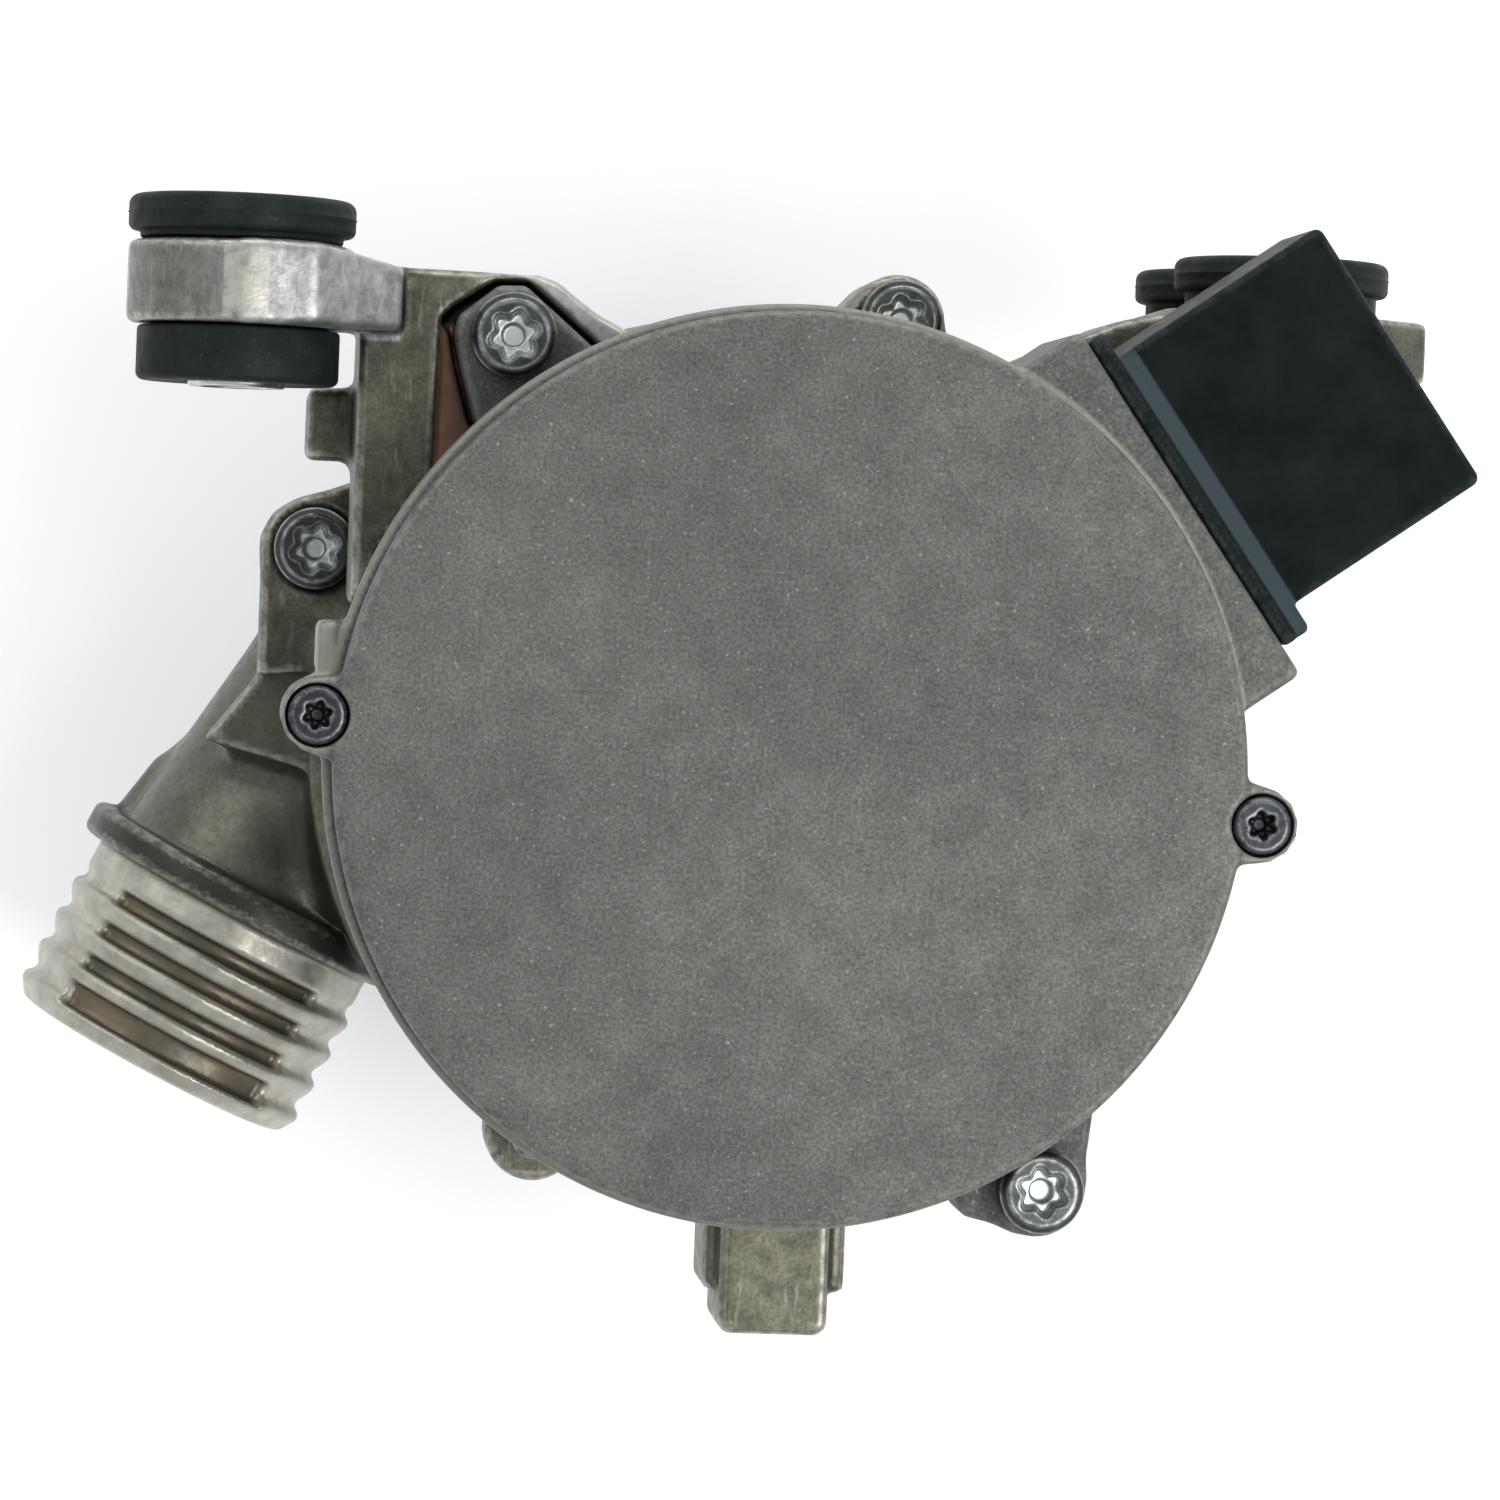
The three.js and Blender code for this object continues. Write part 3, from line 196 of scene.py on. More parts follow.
class Block:
    """A block of space on a grid. f is the distance to the surface, negative inside."""

    def __init__(self, low, high, voxel):
        self.voxel = voxel * 1
        self.low = np.array(low, float) - 3 * self.voxel
        counts = np.ceil((np.array(high) - self.low) / self.voxel).astype(int) + 4
        axes = [self.low[i] + self.voxel * np.arange(counts[i]) for i in range(3)]
        x, y, z = (a.astype(np.float32) for a in axes)
        self.x, self.y, self.z = x[:, None, None], y[None, :, None], z[None, None, :]
        self.f = np.full(counts, 1e3, np.float32)

    def add(self, distance, fillet=0.0):
        self.f = smooth_min(self.f, distance, fillet)

    def cut(self, distance, fillet=0.0):
        self.f = -smooth_min(-self.f, distance, fillet)

    def disc(self, x, y, r, low, high, edge):
        return rounded(np.hypot(self.x - x, self.y - y) - r, between(self.z, low, high), edge)

    def pin(self, x, z, r, low, high, edge):
        """A cylinder along Y."""
        return rounded(np.hypot(self.x - x, self.z - z) - r, between(self.y, low, high), edge)

    def prism(self, points, low, high, edge):
        return rounded(polygon_distance(self.x, self.y, points), between(self.z, low, high), edge)

    def prism_y(self, points, low, high, edge):
        """A prism of an (x, z) outline along Y."""
        return rounded(polygon_distance(self.x, self.z, points), between(self.y, low, high), edge)

    def platform(self, n, t, z, edge):
        """A box in the connector's frame, given by its ranges outwards, along the face and in z."""
        c, s = math.cos(CONNECTOR_ANGLE), math.sin(CONNECTOR_ANGLE)
        out, side = self.x * c + self.y * s, self.y * c - self.x * s
        flat = rounded(between(out, *n), between(side, *t), edge)
        return rounded(flat, between(self.z, *z), edge)

    def box(self, x, y, z, edge):
        flat = rounded(between(self.x, *x), between(self.y, *y), edge)
        return rounded(flat, between(self.z, *z), edge)

    def outlet_frame(self):
        """Distances along the outlet pipe's axis, across it and above it."""
        c, s = math.cos(OUTLET_ANGLE), math.sin(OUTLET_ANGLE)
        return self.x * c + self.y * s, self.x * s - self.y * c - OUTLET_OFFSET, self.z - OUTLET_Z

    def turned(self, points):
        """A body turned about Z from an outline of (radius, z) points."""
        radius = np.hypot(self.x, self.y)[:, :, 0] / TURNED_STEP
        radii = np.arange(int(radius.max()) + 3, dtype=np.float32) * TURNED_STEP
        table = polygon_distance(radii[:, None], self.z[0, 0][None, :], points)
        index = radius.astype(int)
        part = (radius - index)[:, :, None]
        return table[index] * (1 - part) + table[index + 1] * part

    def turned_outlet(self, points):
        """A body turned about the outlet pipe's axis from an outline of (radius, s) points."""
        along, across, rise = self.outlet_frame()
        along = along[:, :, 0]
        radius = np.hypot(across, rise) / OUTLET_STEP
        start = float(along.min()) - OUTLET_STEP
        radii = np.arange(int(radius.max()) + 3, dtype=np.float32) * OUTLET_STEP
        station_count = int((along.max() - start) / OUTLET_STEP) + 3
        stations = start + np.arange(station_count, dtype=np.float32) * OUTLET_STEP
        table = polygon_distance(radii[:, None], stations[None, :], points)
        place = ((along - start) / OUTLET_STEP)[:, :, None]
        i, j = radius.astype(int), place.astype(int)
        u, v = radius - i, place - j
        near = table[i, j] * (1 - v) + table[i, j + 1] * v
        far = table[i + 1, j] * (1 - v) + table[i + 1, j + 1] * v
        return near * (1 - u) + far * u

    def softened(self, f):
        """The field averaged over neighbours, which rounds off the steps of sharp edges."""
        for axis in range(3):
            ahead, behind = np.roll(f, -1, axis), np.roll(f, 1, axis)
            f = f * 0.5 + (ahead + behind) * 0.25
        return f

    def edges(self, f):
        """How sharply the surface bends: towards 1 on convex edges and -1 in corners."""
        f = self.softened(self.softened(f))
        bend = -6 * f
        for axis in range(3):
            bend += np.roll(f, -1, axis) + np.roll(f, 1, axis)
        return np.clip(bend * (0.7 / self.voxel**2), -1, 1)

    def skin(self, name):
        band = 3 * self.voxel
        f = self.softened(self.f)
        grid = openvdb.FloatGrid(background=band)
        grid.copyFromArray(np.clip(f, -band, band))
        points, triangles, quads = grid.convertToPolygons(isovalue=0.0, adaptivity=0.0)
        i, j, k = np.rint(points).astype(int).T
        mesh = mesh_from(name, (points * self.voxel + self.low) * MM, quads, triangles)
        paint(mesh, "edge", self.edges(f)[i, j, k])
        return mesh


def mesh_from(name, points, quads, triangles=()):
    mesh = bpy.data.meshes.new(name)
    faces = [tuple(q) for q in quads.tolist()]
    faces += [tuple(t) for t in np.array(triangles).tolist()]
    mesh.from_pydata(points.tolist(), [], faces)
    mesh.update()
    edit = bmesh.new()
    edit.from_mesh(mesh)
    if edit.calc_volume(signed=True) < 0:
        bmesh.ops.reverse_faces(edit, faces=edit.faces)
    for face in edit.faces:
        face.smooth = True
    edit.to_mesh(mesh)
    edit.free()
    return mesh


def positions(mesh):
    """The mesh's vertices in millimetres, as x, y and z arrays."""
    co = np.empty(len(mesh.vertices) * 3, np.float32)
    mesh.vertices.foreach_get("co", co)
    return co.reshape(-1, 3).T / MM


def paint(mesh, name, values):
    """Stores one number per vertex, for a material to read."""
    attribute = mesh.attributes.new(name, "FLOAT", "POINT")
    attribute.data.foreach_set("value", np.ascontiguousarray(values, np.float32))


def within(value, low, high, soft=0.8):
    """1 where a value lies well inside a range, fading to 0 at its ends."""
    return np.clip((value - low) / soft, 0, 1) * np.clip((high - value) / soft, 0, 1)


def piece(name, mesh, material, slot, body, *nodes):
    """Adds a piece that rides on a body and stands for CAD nodes."""
    obj = bpy.data.objects.new(name, mesh)
    bpy.context.scene.collection.objects.link(obj)
    mesh.materials.append(material)
    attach(obj, body)
    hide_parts(*nodes)
    return obj


def polar(r, degrees):
    return r * math.cos(math.radians(degrees)), r * math.sin(math.radians(degrees))


def turned_outline(points, degrees):
    """(u, v) points, u outwards at an angle and v across it, as (x, y)."""
    turned = []
    for u, v in points:
        (ux, uy), (vx, vy) = polar(u, degrees), polar(v, degrees + 90)
        turned.append((ux + vx, uy + vy))
    return turned


def outlet_point(s, v):
    """A place s along the outlet pipe and v outwards from its axis."""
    c, n = math.cos(OUTLET_ANGLE), math.sin(OUTLET_ANGLE)
    across = OUTLET_OFFSET + v
    return s * c + across * n, s * n - across * c


# Materials


class Nodes:
    """Short calls to build a node material around one Principled shader."""

    def __init__(self, name):
        self.material = bpy.data.materials.new(name)
        self.material.use_nodes = True
        self.tree = self.material.node_tree
        self.shader = self.tree.nodes["Principled BSDF"]
        self.place = self.node("ShaderNodeTexCoord").outputs["Object"]

    def node(self, kind, **values):
        made = self.tree.nodes.new(kind)
        for key, value in values.items():
            if hasattr(made, key):
                setattr(made, key, value)
            else:
                made.inputs[key.replace("_", " ")].default_value = value
        return made

    def link(self, source, target):
        self.tree.links.new(source, target)

    def set(self, **values):
        for key, value in values.items():
            self.shader.inputs[key.replace("_", " ")].default_value = value

    def noise(self, size_mm, detail=3.0, rough=0.55, distortion=0.0, place=None):
        made = self.node("ShaderNodeTexNoise", Scale=1000 / size_mm, Detail=detail)
        made.inputs["Roughness"].default_value = rough
        made.inputs["Distortion"].default_value = distortion
        self.link(place or self.place, made.inputs["Vector"])
        return made.outputs["Fac"]

    def stretched(self, x, y, z):
        made = self.node("ShaderNodeMapping")
        made.inputs["Scale"].default_value = (x, y, z)
        self.link(self.place, made.inputs["Vector"])
        return made.outputs["Vector"]

    def ramp(self, factor, *stops):
        """stops are (position, colour or grey value)."""
        made = self.node("ShaderNodeValToRGB")
        ramp = made.color_ramp
        while len(ramp.elements) < len(stops):
            ramp.elements.new(0.5)
        for element, (position, value) in zip(ramp.elements, stops):
            element.position = position
            colour = value if isinstance(value, tuple) else (value, value, value)
            element.color = (*colour, 1)
        self.link(factor, made.inputs["Fac"])
        return made.outputs["Color"]

    def mix(self, factor, a, b, blend="MIX"):
        made = self.node("ShaderNodeMix", data_type="RGBA", blend_type=blend)
        for socket, value in ((made.inputs[0], factor), (made.inputs[6], a), (made.inputs[7], b)):
            if isinstance(value, bpy.types.NodeSocket):
                self.link(value, socket)
            elif isinstance(value, tuple):
                socket.default_value = (*value, 1)
            else:
                socket.default_value = value
        return made.outputs[2]

    def maths(self, operation, a, b=0.5):
        made = self.node("ShaderNodeMath", operation=operation)
        for socket, value in zip(made.inputs, (a, b)):
            if isinstance(value, bpy.types.NodeSocket):
                self.link(value, socket)
            else:
                socket.default_value = value
        return made.outputs[0]

    def bump(self, height, depth_mm, strength):
        made = self.node("ShaderNodeBump", Strength=strength, Distance=depth_mm * MM)
        self.link(height, made.inputs["Height"])
        previous = self.shader.inputs["Normal"]
        if previous.is_linked:
            self.link(previous.links[0].from_socket, made.inputs["Normal"])
        self.link(made.outputs["Normal"], previous)

    def attribute(self, name):
        return self.node("ShaderNodeAttribute", attribute_name=name).outputs["Fac"]

    def wear(self, low, high, patch_mm=1.5):
        """Patchy, towards 1 on convex edges."""
        edges = self.ramp(self.attribute("edge"), (low, 0.0), (high, 1.0))
        patches = self.ramp(self.noise(patch_mm, 3, 0.6), (0.36, 0.25), (0.6, 1.0))
        return self.maths("MULTIPLY", edges, patches)

    def painted_corner_shade(self, amount):
        """A factor of painted shade that darkens corners."""
        corners = self.maths("MULTIPLY", self.attribute("edge"), -1.0)
        return self.ramp(corners, (0.1, 1.0), (0.6, 1.0 - amount))

    def finish(self, colour, roughness):
        self.link(colour, self.shader.inputs["Base Color"])
        self.link(roughness, self.shader.inputs["Roughness"])
        return self.material


def blasted_aluminium():
    """Shot-blasted die casting: grey, mottled, with pale grains."""
    m = Nodes("blasted_aluminium")
    m.set(Metallic=0.72)
    tone = m.ramp(m.noise(42, 2, 0.5), (0.3, (0.088, 0.091, 0.085)), (0.7, (0.123, 0.124, 0.112)))
    blotch = m.ramp(m.noise(6, 4, 0.65), (0.35, 0.84), (0.68, 1.13))
    grain = m.ramp(m.noise(0.42, 2, 0.6), (0.36, 0.72), (0.52, 1.0), (0.66, 1.2), (0.76, 1.7))
    warm = m.ramp(m.noise(1.1, 2, 0.6), (0.4, (0.98, 0.995, 1.02)), (0.66, (1.04, 1.0, 0.94)))
    dots = m.ramp(m.noise(0.7, 1, 0.5), (0.69, 0.0), (0.76, 0.5))
    colour = m.mix(1.0, tone, blotch, "MULTIPLY")
    colour = m.mix(1.0, colour, grain, "MULTIPLY")
    colour = m.mix(1.0, colour, warm, "MULTIPLY")
    colour = m.mix(dots, colour, (0.3, 0.3, 0.28))
    # pale where the bright attribute is painted: the rim's painted highlight and the gate stub
    colour = m.mix(m.attribute("bright"), colour, (0.3, 0.3, 0.25))
    colour = m.mix(m.wear(0.3, 1.0), colour, (0.22, 0.22, 0.2))
    # painted shade in corners
    colour = m.mix(1.0, colour, m.painted_corner_shade(0.6), "MULTIPLY")
    rough = m.ramp(m.noise(0.9, 3, 0.6), (0.35, 0.5), (0.7, 0.66))
    m.bump(m.noise(0.45, 3, 0.6), 0.045, 0.8)
    m.bump(m.noise(2.5, 3, 0.6), 0.04, 0.6)
    return m.finish(colour, rough)


def cast_aluminium():
    """As-cast die casting: olive-grey skin, pale on edges and where it is scratched, and silver on bare
    metal and painted highlights.
    """
    m = Nodes("cast_aluminium")
    m.set(Metallic=0.8)
    tone = m.ramp(m.noise(14, 4, 0.6), (0.3, (0.064, 0.063, 0.046)), (0.7, (0.125, 0.122, 0.09)))
    stain = m.ramp(m.noise(3.2, 4, 0.65), (0.36, 0.75), (0.64, 1.15))
    grain = m.ramp(m.noise(0.55, 2, 0.6), (0.35, 0.82), (0.65, 1.18))
    colour = m.mix(1.0, m.mix(1.0, tone, stain, "MULTIPLY"), grain, "MULTIPLY")
    colour = m.mix(m.attribute("rusty"), colour, (0.75, 0.42, 0.34))
    lines = m.noise(1.6, 4, 0.65, 0.6, m.stretched(1.0, 0.75, 0.75))
    silver = m.ramp(lines, (0.36, (0.26, 0.26, 0.245)), (0.68, (0.47, 0.48, 0.5)))
    # silver where the bright attribute is painted: bare metal and painted highlights
    colour = m.mix(m.attribute("bright"), colour, silver)
    scratch = m.ramp(m.noise(1.0, 3, 0.6, 0.4, m.stretched(1.0, 0.12, 1.0)), (0.6, 0.0), (0.74, 0.45))
    colour = m.mix(scratch, colour, (0.3, 0.3, 0.27))
    colour = m.mix(m.wear(0.32, 0.8), colour, (0.4, 0.39, 0.34))
    # painted shade in corners
    colour = m.mix(1.0, colour, m.painted_corner_shade(0.6), "MULTIPLY")
    rough = m.ramp(m.noise(2.0, 4, 0.6), (0.35, 0.34), (0.7, 0.54))
    m.bump(m.noise(0.6, 3, 0.6), 0.045, 0.7)
    m.bump(m.noise(4.5, 3, 0.6), 0.1, 0.6)
    return m.finish(colour, rough)


def volute_aluminium():
    """Casting that is dark on the body, with painted shade on the outlet's collar and duct, and bright on
    the turned nozzles and ribs.
    """
    m = Nodes("volute_aluminium")
    m.set(Metallic=0.6)
    body = m.ramp(m.noise(12, 4, 0.6), (0.3, (0.062, 0.062, 0.047)), (0.7, (0.125, 0.123, 0.092)))
    grain = m.ramp(m.noise(0.7, 2, 0.6), (0.35, 0.85), (0.65, 1.15))
    body = m.mix(1.0, body, grain, "MULTIPLY")
    # painted shade on the outlet's collar and duct
    body = m.mix(m.attribute("painted_shade"), body, (0.02, 0.02, 0.016))
    lines = m.noise(3.2, 4, 0.6, 0.3)
    bright = m.ramp(lines, (0.34, (0.29, 0.275, 0.225)), (0.66, (0.45, 0.435, 0.375)))
    floor = m.ramp(m.noise(7, 2, 0.5), (0.4, (0.09, 0.085, 0.06)), (0.65, (0.13, 0.105, 0.07)))
    bright = m.mix(m.attribute("groove"), bright, floor)
    colour = m.mix(m.attribute("bright"), body, bright)
    colour = m.mix(m.wear(0.25, 1.0), colour, (0.34, 0.33, 0.28))
    rough = m.ramp(m.noise(1.6, 3, 0.6), (0.35, 0.28), (0.7, 0.46))
    m.bump(m.noise(0.7, 3, 0.6), 0.04, 0.6)
    m.bump(m.noise(5, 3, 0.6), 0.08, 0.5)
    return m.finish(colour, rough)


def zinc_steel():
    """Zinc-plated steel, dull outside, with painted light in the socket."""
    m = Nodes("zinc_steel")
    m.set(Metallic=0.9)
    tone = m.ramp(m.noise(1.8, 3, 0.6), (0.3, (0.032, 0.035, 0.035)), (0.7, (0.066, 0.071, 0.071)))
    # painted light inside the socket
    tone = m.mix(m.attribute("socket"), tone, (0.48, 0.51, 0.5))
    colour = m.mix(m.wear(0.25, 0.8), tone, (0.26, 0.27, 0.265))
    rough = m.ramp(m.noise(0.8, 3, 0.6), (0.35, 0.26), (0.7, 0.42))
    m.bump(m.noise(0.5, 2, 0.6), 0.015, 0.6)
    return m.finish(colour, rough)


def black_steel():
    m = Nodes("black_steel")
    m.set(Metallic=0.8)
    tone = m.ramp(m.noise(0.8, 3, 0.6), (0.3, (0.016, 0.018, 0.021)), (0.7, (0.038, 0.041, 0.046)))
    colour = m.mix(m.wear(0.3, 0.9, 0.8), tone, (0.14, 0.145, 0.15))
    rough = m.ramp(m.noise(0.6, 3, 0.6), (0.35, 0.3), (0.7, 0.5))
    m.bump(m.noise(0.35, 2, 0.6), 0.015, 0.6)
    return m.finish(colour, rough)


def bright_steel():
    m = Nodes("bright_steel")
    m.set(Metallic=1.0)
    lines = m.noise(0.5, 2, 0.5, 0, m.stretched(0.05, 1.0, 1.0))
    colour = m.ramp(lines, (0.3, (0.42, 0.42, 0.42)), (0.7, (0.6, 0.6, 0.59)))
    rough = m.ramp(m.noise(1.5, 3), (0.3, 0.2), (0.7, 0.35))
    m.bump(lines, 0.008, 0.5)
    return m.finish(colour, rough)


def rubber():
    """Moulded rubber, a little dusty."""
    m = Nodes("black_rubber")
    m.set(Metallic=0.0, Specular_IOR_Level=0.1)
    tone = m.ramp(m.noise(5, 4, 0.6), (0.3, (0.006, 0.0095, 0.0085)), (0.7, (0.015, 0.02, 0.018)))
    dust = m.ramp(m.noise(0.7, 3, 0.65), (0.58, 0.0), (0.8, 0.28))
    colour = m.mix(dust, tone, (0.09, 0.09, 0.08))
    rough = m.ramp(m.noise(2.0, 3), (0.3, 0.46), (0.7, 0.66))
    m.bump(m.noise(0.4, 2, 0.6), 0.02, 0.6)
    return m.finish(colour, rough)


def black_plastic():
    """Glass-filled plastic with a fine moulded grain, and a painted grey sheen on its sealing ledge."""
    m = Nodes("black_plastic")
    m.set(Metallic=0.0, Specular_IOR_Level=0.03)
    tone = m.ramp(m.noise(7, 4, 0.6), (0.3, (0.0035, 0.006, 0.005)), (0.7, (0.008, 0.012, 0.0105)))
    speck = m.ramp(m.noise(0.4, 2, 0.6), (0.66, 0.0), (0.78, 0.2))
    colour = m.mix(speck, tone, (0.04, 0.05, 0.047))
    # painted sheen on the sealing ledge
    colour = m.mix(m.attribute("ledge"), colour, (0.036, 0.05, 0.056))
    colour = m.mix(m.wear(0.3, 0.9), colour, (0.03, 0.036, 0.036))
    rough = m.ramp(m.noise(1.6, 3), (0.3, 0.36), (0.7, 0.52))
    m.bump(m.noise(0.35, 2, 0.6), 0.03, 0.7)
    return m.finish(colour, rough)


def speckled(name, dark, light, grain_mm, roughness, metallic=0.0, depth_mm=0.02):
    """Plain stock of two close tones with a fine grain, for pieces inside the pump."""
    m = Nodes(name)
    m.set(Metallic=metallic)
    colour = m.ramp(m.noise(grain_mm, 4, 0.6), (0.3, dark), (0.7, light))
    rough = m.ramp(m.noise(grain_mm * 2, 3), (0.3, roughness - 0.08), (0.7, roughness + 0.1))
    m.bump(m.noise(grain_mm * 0.5, 2), depth_mm, 0.6)
    return m.finish(colour, rough)


def layered(name, dark, light, pitch_mm, roughness, metallic):
    """Metal in fine layers across Z, as stacked laminations and wound wire are."""
    m = Nodes(name)
    m.set(Metallic=metallic)
    wave = m.node("ShaderNodeTexWave", Scale=1000 / pitch_mm / 20, Distortion=0.4, Detail=1.0)
    wave.bands_direction = "Z"
    m.link(m.place, wave.inputs["Vector"])
    colour = m.ramp(wave.outputs["Fac"], (0.1, dark), (0.6, light))
    rough = m.ramp(m.noise(2), (0.3, roughness - 0.06), (0.7, roughness + 0.1))
    m.bump(wave.outputs["Fac"], pitch_mm * 0.15, 0.7)
    return m.finish(colour, rough)


def circuit_lacquer():
    """Green lacquer over copper tracks."""
    m = Nodes("board")
    m.set(Metallic=0.0)
    cells = m.node("ShaderNodeTexVoronoi", Scale=260.0, distance="CHEBYCHEV", feature="DISTANCE_TO_EDGE")
    m.link(m.place, cells.inputs["Vector"])
    tracks = m.ramp(cells.outputs["Distance"], (0.06, 0.0), (0.1, 1.0))
    colour = m.mix(tracks, (0.03, 0.2, 0.08), (0.012, 0.09, 0.035))
    rough = m.ramp(m.noise(3), (0.3, 0.25), (0.7, 0.4))
    m.bump(tracks, 0.03, 0.6)
    return m.finish(colour, rough)


MATERIALS = {
    "blasted_aluminium": blasted_aluminium(),
    "cast_aluminium": cast_aluminium(),
    "volute_aluminium": volute_aluminium(),
    "zinc_steel": zinc_steel(),
    "black_steel": black_steel(),
    "bright_steel": bright_steel(),
    "black_rubber": rubber(),
    "black_plastic": black_plastic(),
    "seal_rubber": speckled("seal_rubber", (0.008,) * 3, (0.02,) * 3, 1.0, 0.5),
    "can_plastic": speckled("can_plastic", (0.014, 0.013, 0.011), (0.032, 0.03, 0.026), 1.5, 0.5),
    "impeller_plastic": speckled("impeller_plastic", (0.05, 0.042, 0.03), (0.1, 0.085, 0.06), 1.2, 0.5),
    "tin_plate": speckled("tin_plate", (0.5, 0.48, 0.43), (0.68, 0.66, 0.6), 0.8, 0.3, 1.0),
    "copper": layered("copper", (0.2, 0.06, 0.02), (0.55, 0.22, 0.08), 0.9, 0.35, 0.9),
    "lamination_steel": layered("lamination_steel", (0.06, 0.06, 0.065), (0.2, 0.2, 0.21), 0.7, 0.4, 0.9),
    "magnet": speckled("magnet", (0.03, 0.032, 0.035), (0.07, 0.07, 0.075), 1.0, 0.5, 0.3),
    "carbon": speckled("carbon", (0.012,) * 3, (0.03,) * 3, 0.6, 0.45, 0.2),
    "board": circuit_lacquer(),
    "capacitor_can": speckled("capacitor_can", (0.42, 0.43, 0.44), (0.58, 0.59, 0.6), 2.0, 0.3, 1.0),
    "chip_plastic": speckled("chip_plastic", (0.008,) * 3, (0.02,) * 3, 0.4, 0.5),
}


def dress_cad_nodes():
    """Every CAD node takes its slot's node material."""
    for part in frame["record"]["subparts"]:
        obj = frame["nodes"][part["node"]]
        obj.data.materials.clear()
        obj.data.materials.append(MATERIALS[part["material_slot"]])


# Castings


def cover():
    b = Block((COVER_LOW[0], -COVER_R, RIM_Z), (COVER_HIGH[0], COVER_R, 0), 0.3)
    b.add(b.disc(0, 0, COVER_R, COVER_LOW[2], 0, 0.9))
    for angle in COVER_SCREW_ANGLES:
        b.add(b.prism(turned_outline(LUG_OUTLINE, angle), COVER_LOW[2], -0.5, 0.5), 0.8)
    b.cut(b.turned([(0, -3.2), (ROOM_R - 0.5, -3.2), (ROOM_R - 0.5, -20), (0, -20)]))
    for x, y, _ in COVER_SCREWS:
        b.cut(b.disc(x, y, M4_HEAD_R + 0.3, COVER_SEAT_Z, ABOVE, 0.2))
        b.cut(b.disc(x, y, M4_HOLE_R, -20, ABOVE, 0.1))
    b.f = np.maximum(b.f, b.z)
    b.f = np.maximum(b.f, COVER_LOW[2] - b.z)
    piece("cover_casting", b.skin("cover_casting"), MATERIALS["blasted_aluminium"],
          "blasted_aluminium", "housing", "electronics_cover")


UPPER_BOSS = [(-30, 30), (-39.5, 41.6), (-41.4, 47.8), (-42.5, 52.5), (-42, 54.7), (-37.1, 58.6),
              (-33.7, 58.7), (-24.5, 51), (-14, 44)]
LOWER_BOSS = [(20, -44), (26.1, -56.2), (32.5, -57.6), (41.2, -51), (42.8, -36)]
GATE = ((-58.3, -50), (9.4, 16), (-30, RIM_Z - 0.4))  # rough stub left by the casting gate


def electronics_casting():
    b = Block(HOUSING_LOW, HOUSING_HIGH, 0.42)
    b.add(b.turned([(0, -40), (BODY_R + 0.5, -40), (BODY_R + 0.5, RIM_Z - 5.5), (RIM_R, RIM_Z - 3.5),
                    (RIM_R, RIM_Z), (0, RIM_Z)]))
    for angle in COVER_SCREW_ANGLES:
        b.add(b.prism(turned_outline(LUG_OUTLINE, angle), RIM_Z - 14, RIM_Z, 0.6), 1)
    b.add(b.prism(UPPER_BOSS, -40, SCREW_SEAT_Z, 0.9), 1.5)
    lower = LONG_SCREWS[1]
    b.add(b.disc(lower[0], lower[1], BOSS_R, -40, SCREW_SEAT_Z, 0.9), 2)
    b.add(b.prism(LOWER_BOSS, -40, SCREW_SEAT_Z, 0.9), 1.5)
    b.add(b.box(*GATE, 0.8), 0.8)
    b.add(b.platform((30, PLATFORM_N), (-PLATFORM_T, PLATFORM_T), (-50, RIM_Z), 0.9), 0.5)
    b.cut(b.disc(0, 0, BODY_R + 1.5, -60, MID_Z, 0.1))
    for x, y, _ in LONG_SCREWS:
        b.cut(b.disc(x, y, 9, -60, MID_Z, 0.1))
        b.cut(b.disc(x, y, M6_HOLE_R, -60, ABOVE, 0.1))
    b.cut(b.prism([(10, 80), (-60, 80), (-60, 20), (0, 20)], -60, MID_Z, 0.1))
    b.cut(b.turned([(0, MID_Z + 3), (ROOM_R, MID_Z + 3), (ROOM_R, RIM_Z - 2.8), (ROOM_R + 3, RIM_Z - 2.8),
                    (ROOM_R + 3, ABOVE), (0, ABOVE)]))
    for x, y, _ in COVER_SCREWS:
        b.cut(b.disc(x, y, M4_HOLE_R, RIM_Z - 12.5, ABOVE, 0.1))
    b.cut(b.platform((40, PLATFORM_N + 5), (-15.3, 16.3), (-30.3, -13.7), 0.5))
    for i in (1, 2, 3):
        x, y, _ = cad_centre(f"phase_lead_{i}")
        b.cut(b.disc(x, y, 2.1, -60, MID_Z + 5, 0.1))
    b.f = np.maximum(b.f, b.z - RIM_Z)
    b.f = np.maximum(b.f, HOUSING_LOW[2] - b.z)
    mesh = b.skin("electronics_casting")
    x, y, z = positions(mesh)
    # A thin strip round the rim gets a painted highlight, stronger on the +y side; the gate stub is
    # painted pale.
    rim_highlight = within(np.hypot(x, y), RIM_R - 0.9, RIM_R + 0.5, 0.3) * within(z, RIM_Z - 4, 0, 0.5)
    gate = within(x, -60, GATE[0][0] + 2.5) * within(y, 8.6, 16.8) * within(z, -32, 0)
    paint(mesh, "bright", np.maximum(rim_highlight * (0.45 + 0.2 * (y > 0)), gate))
    piece("electronics_casting", mesh, MATERIALS["blasted_aluminium"],
          "blasted_aluminium", "housing", "electronics_housing")


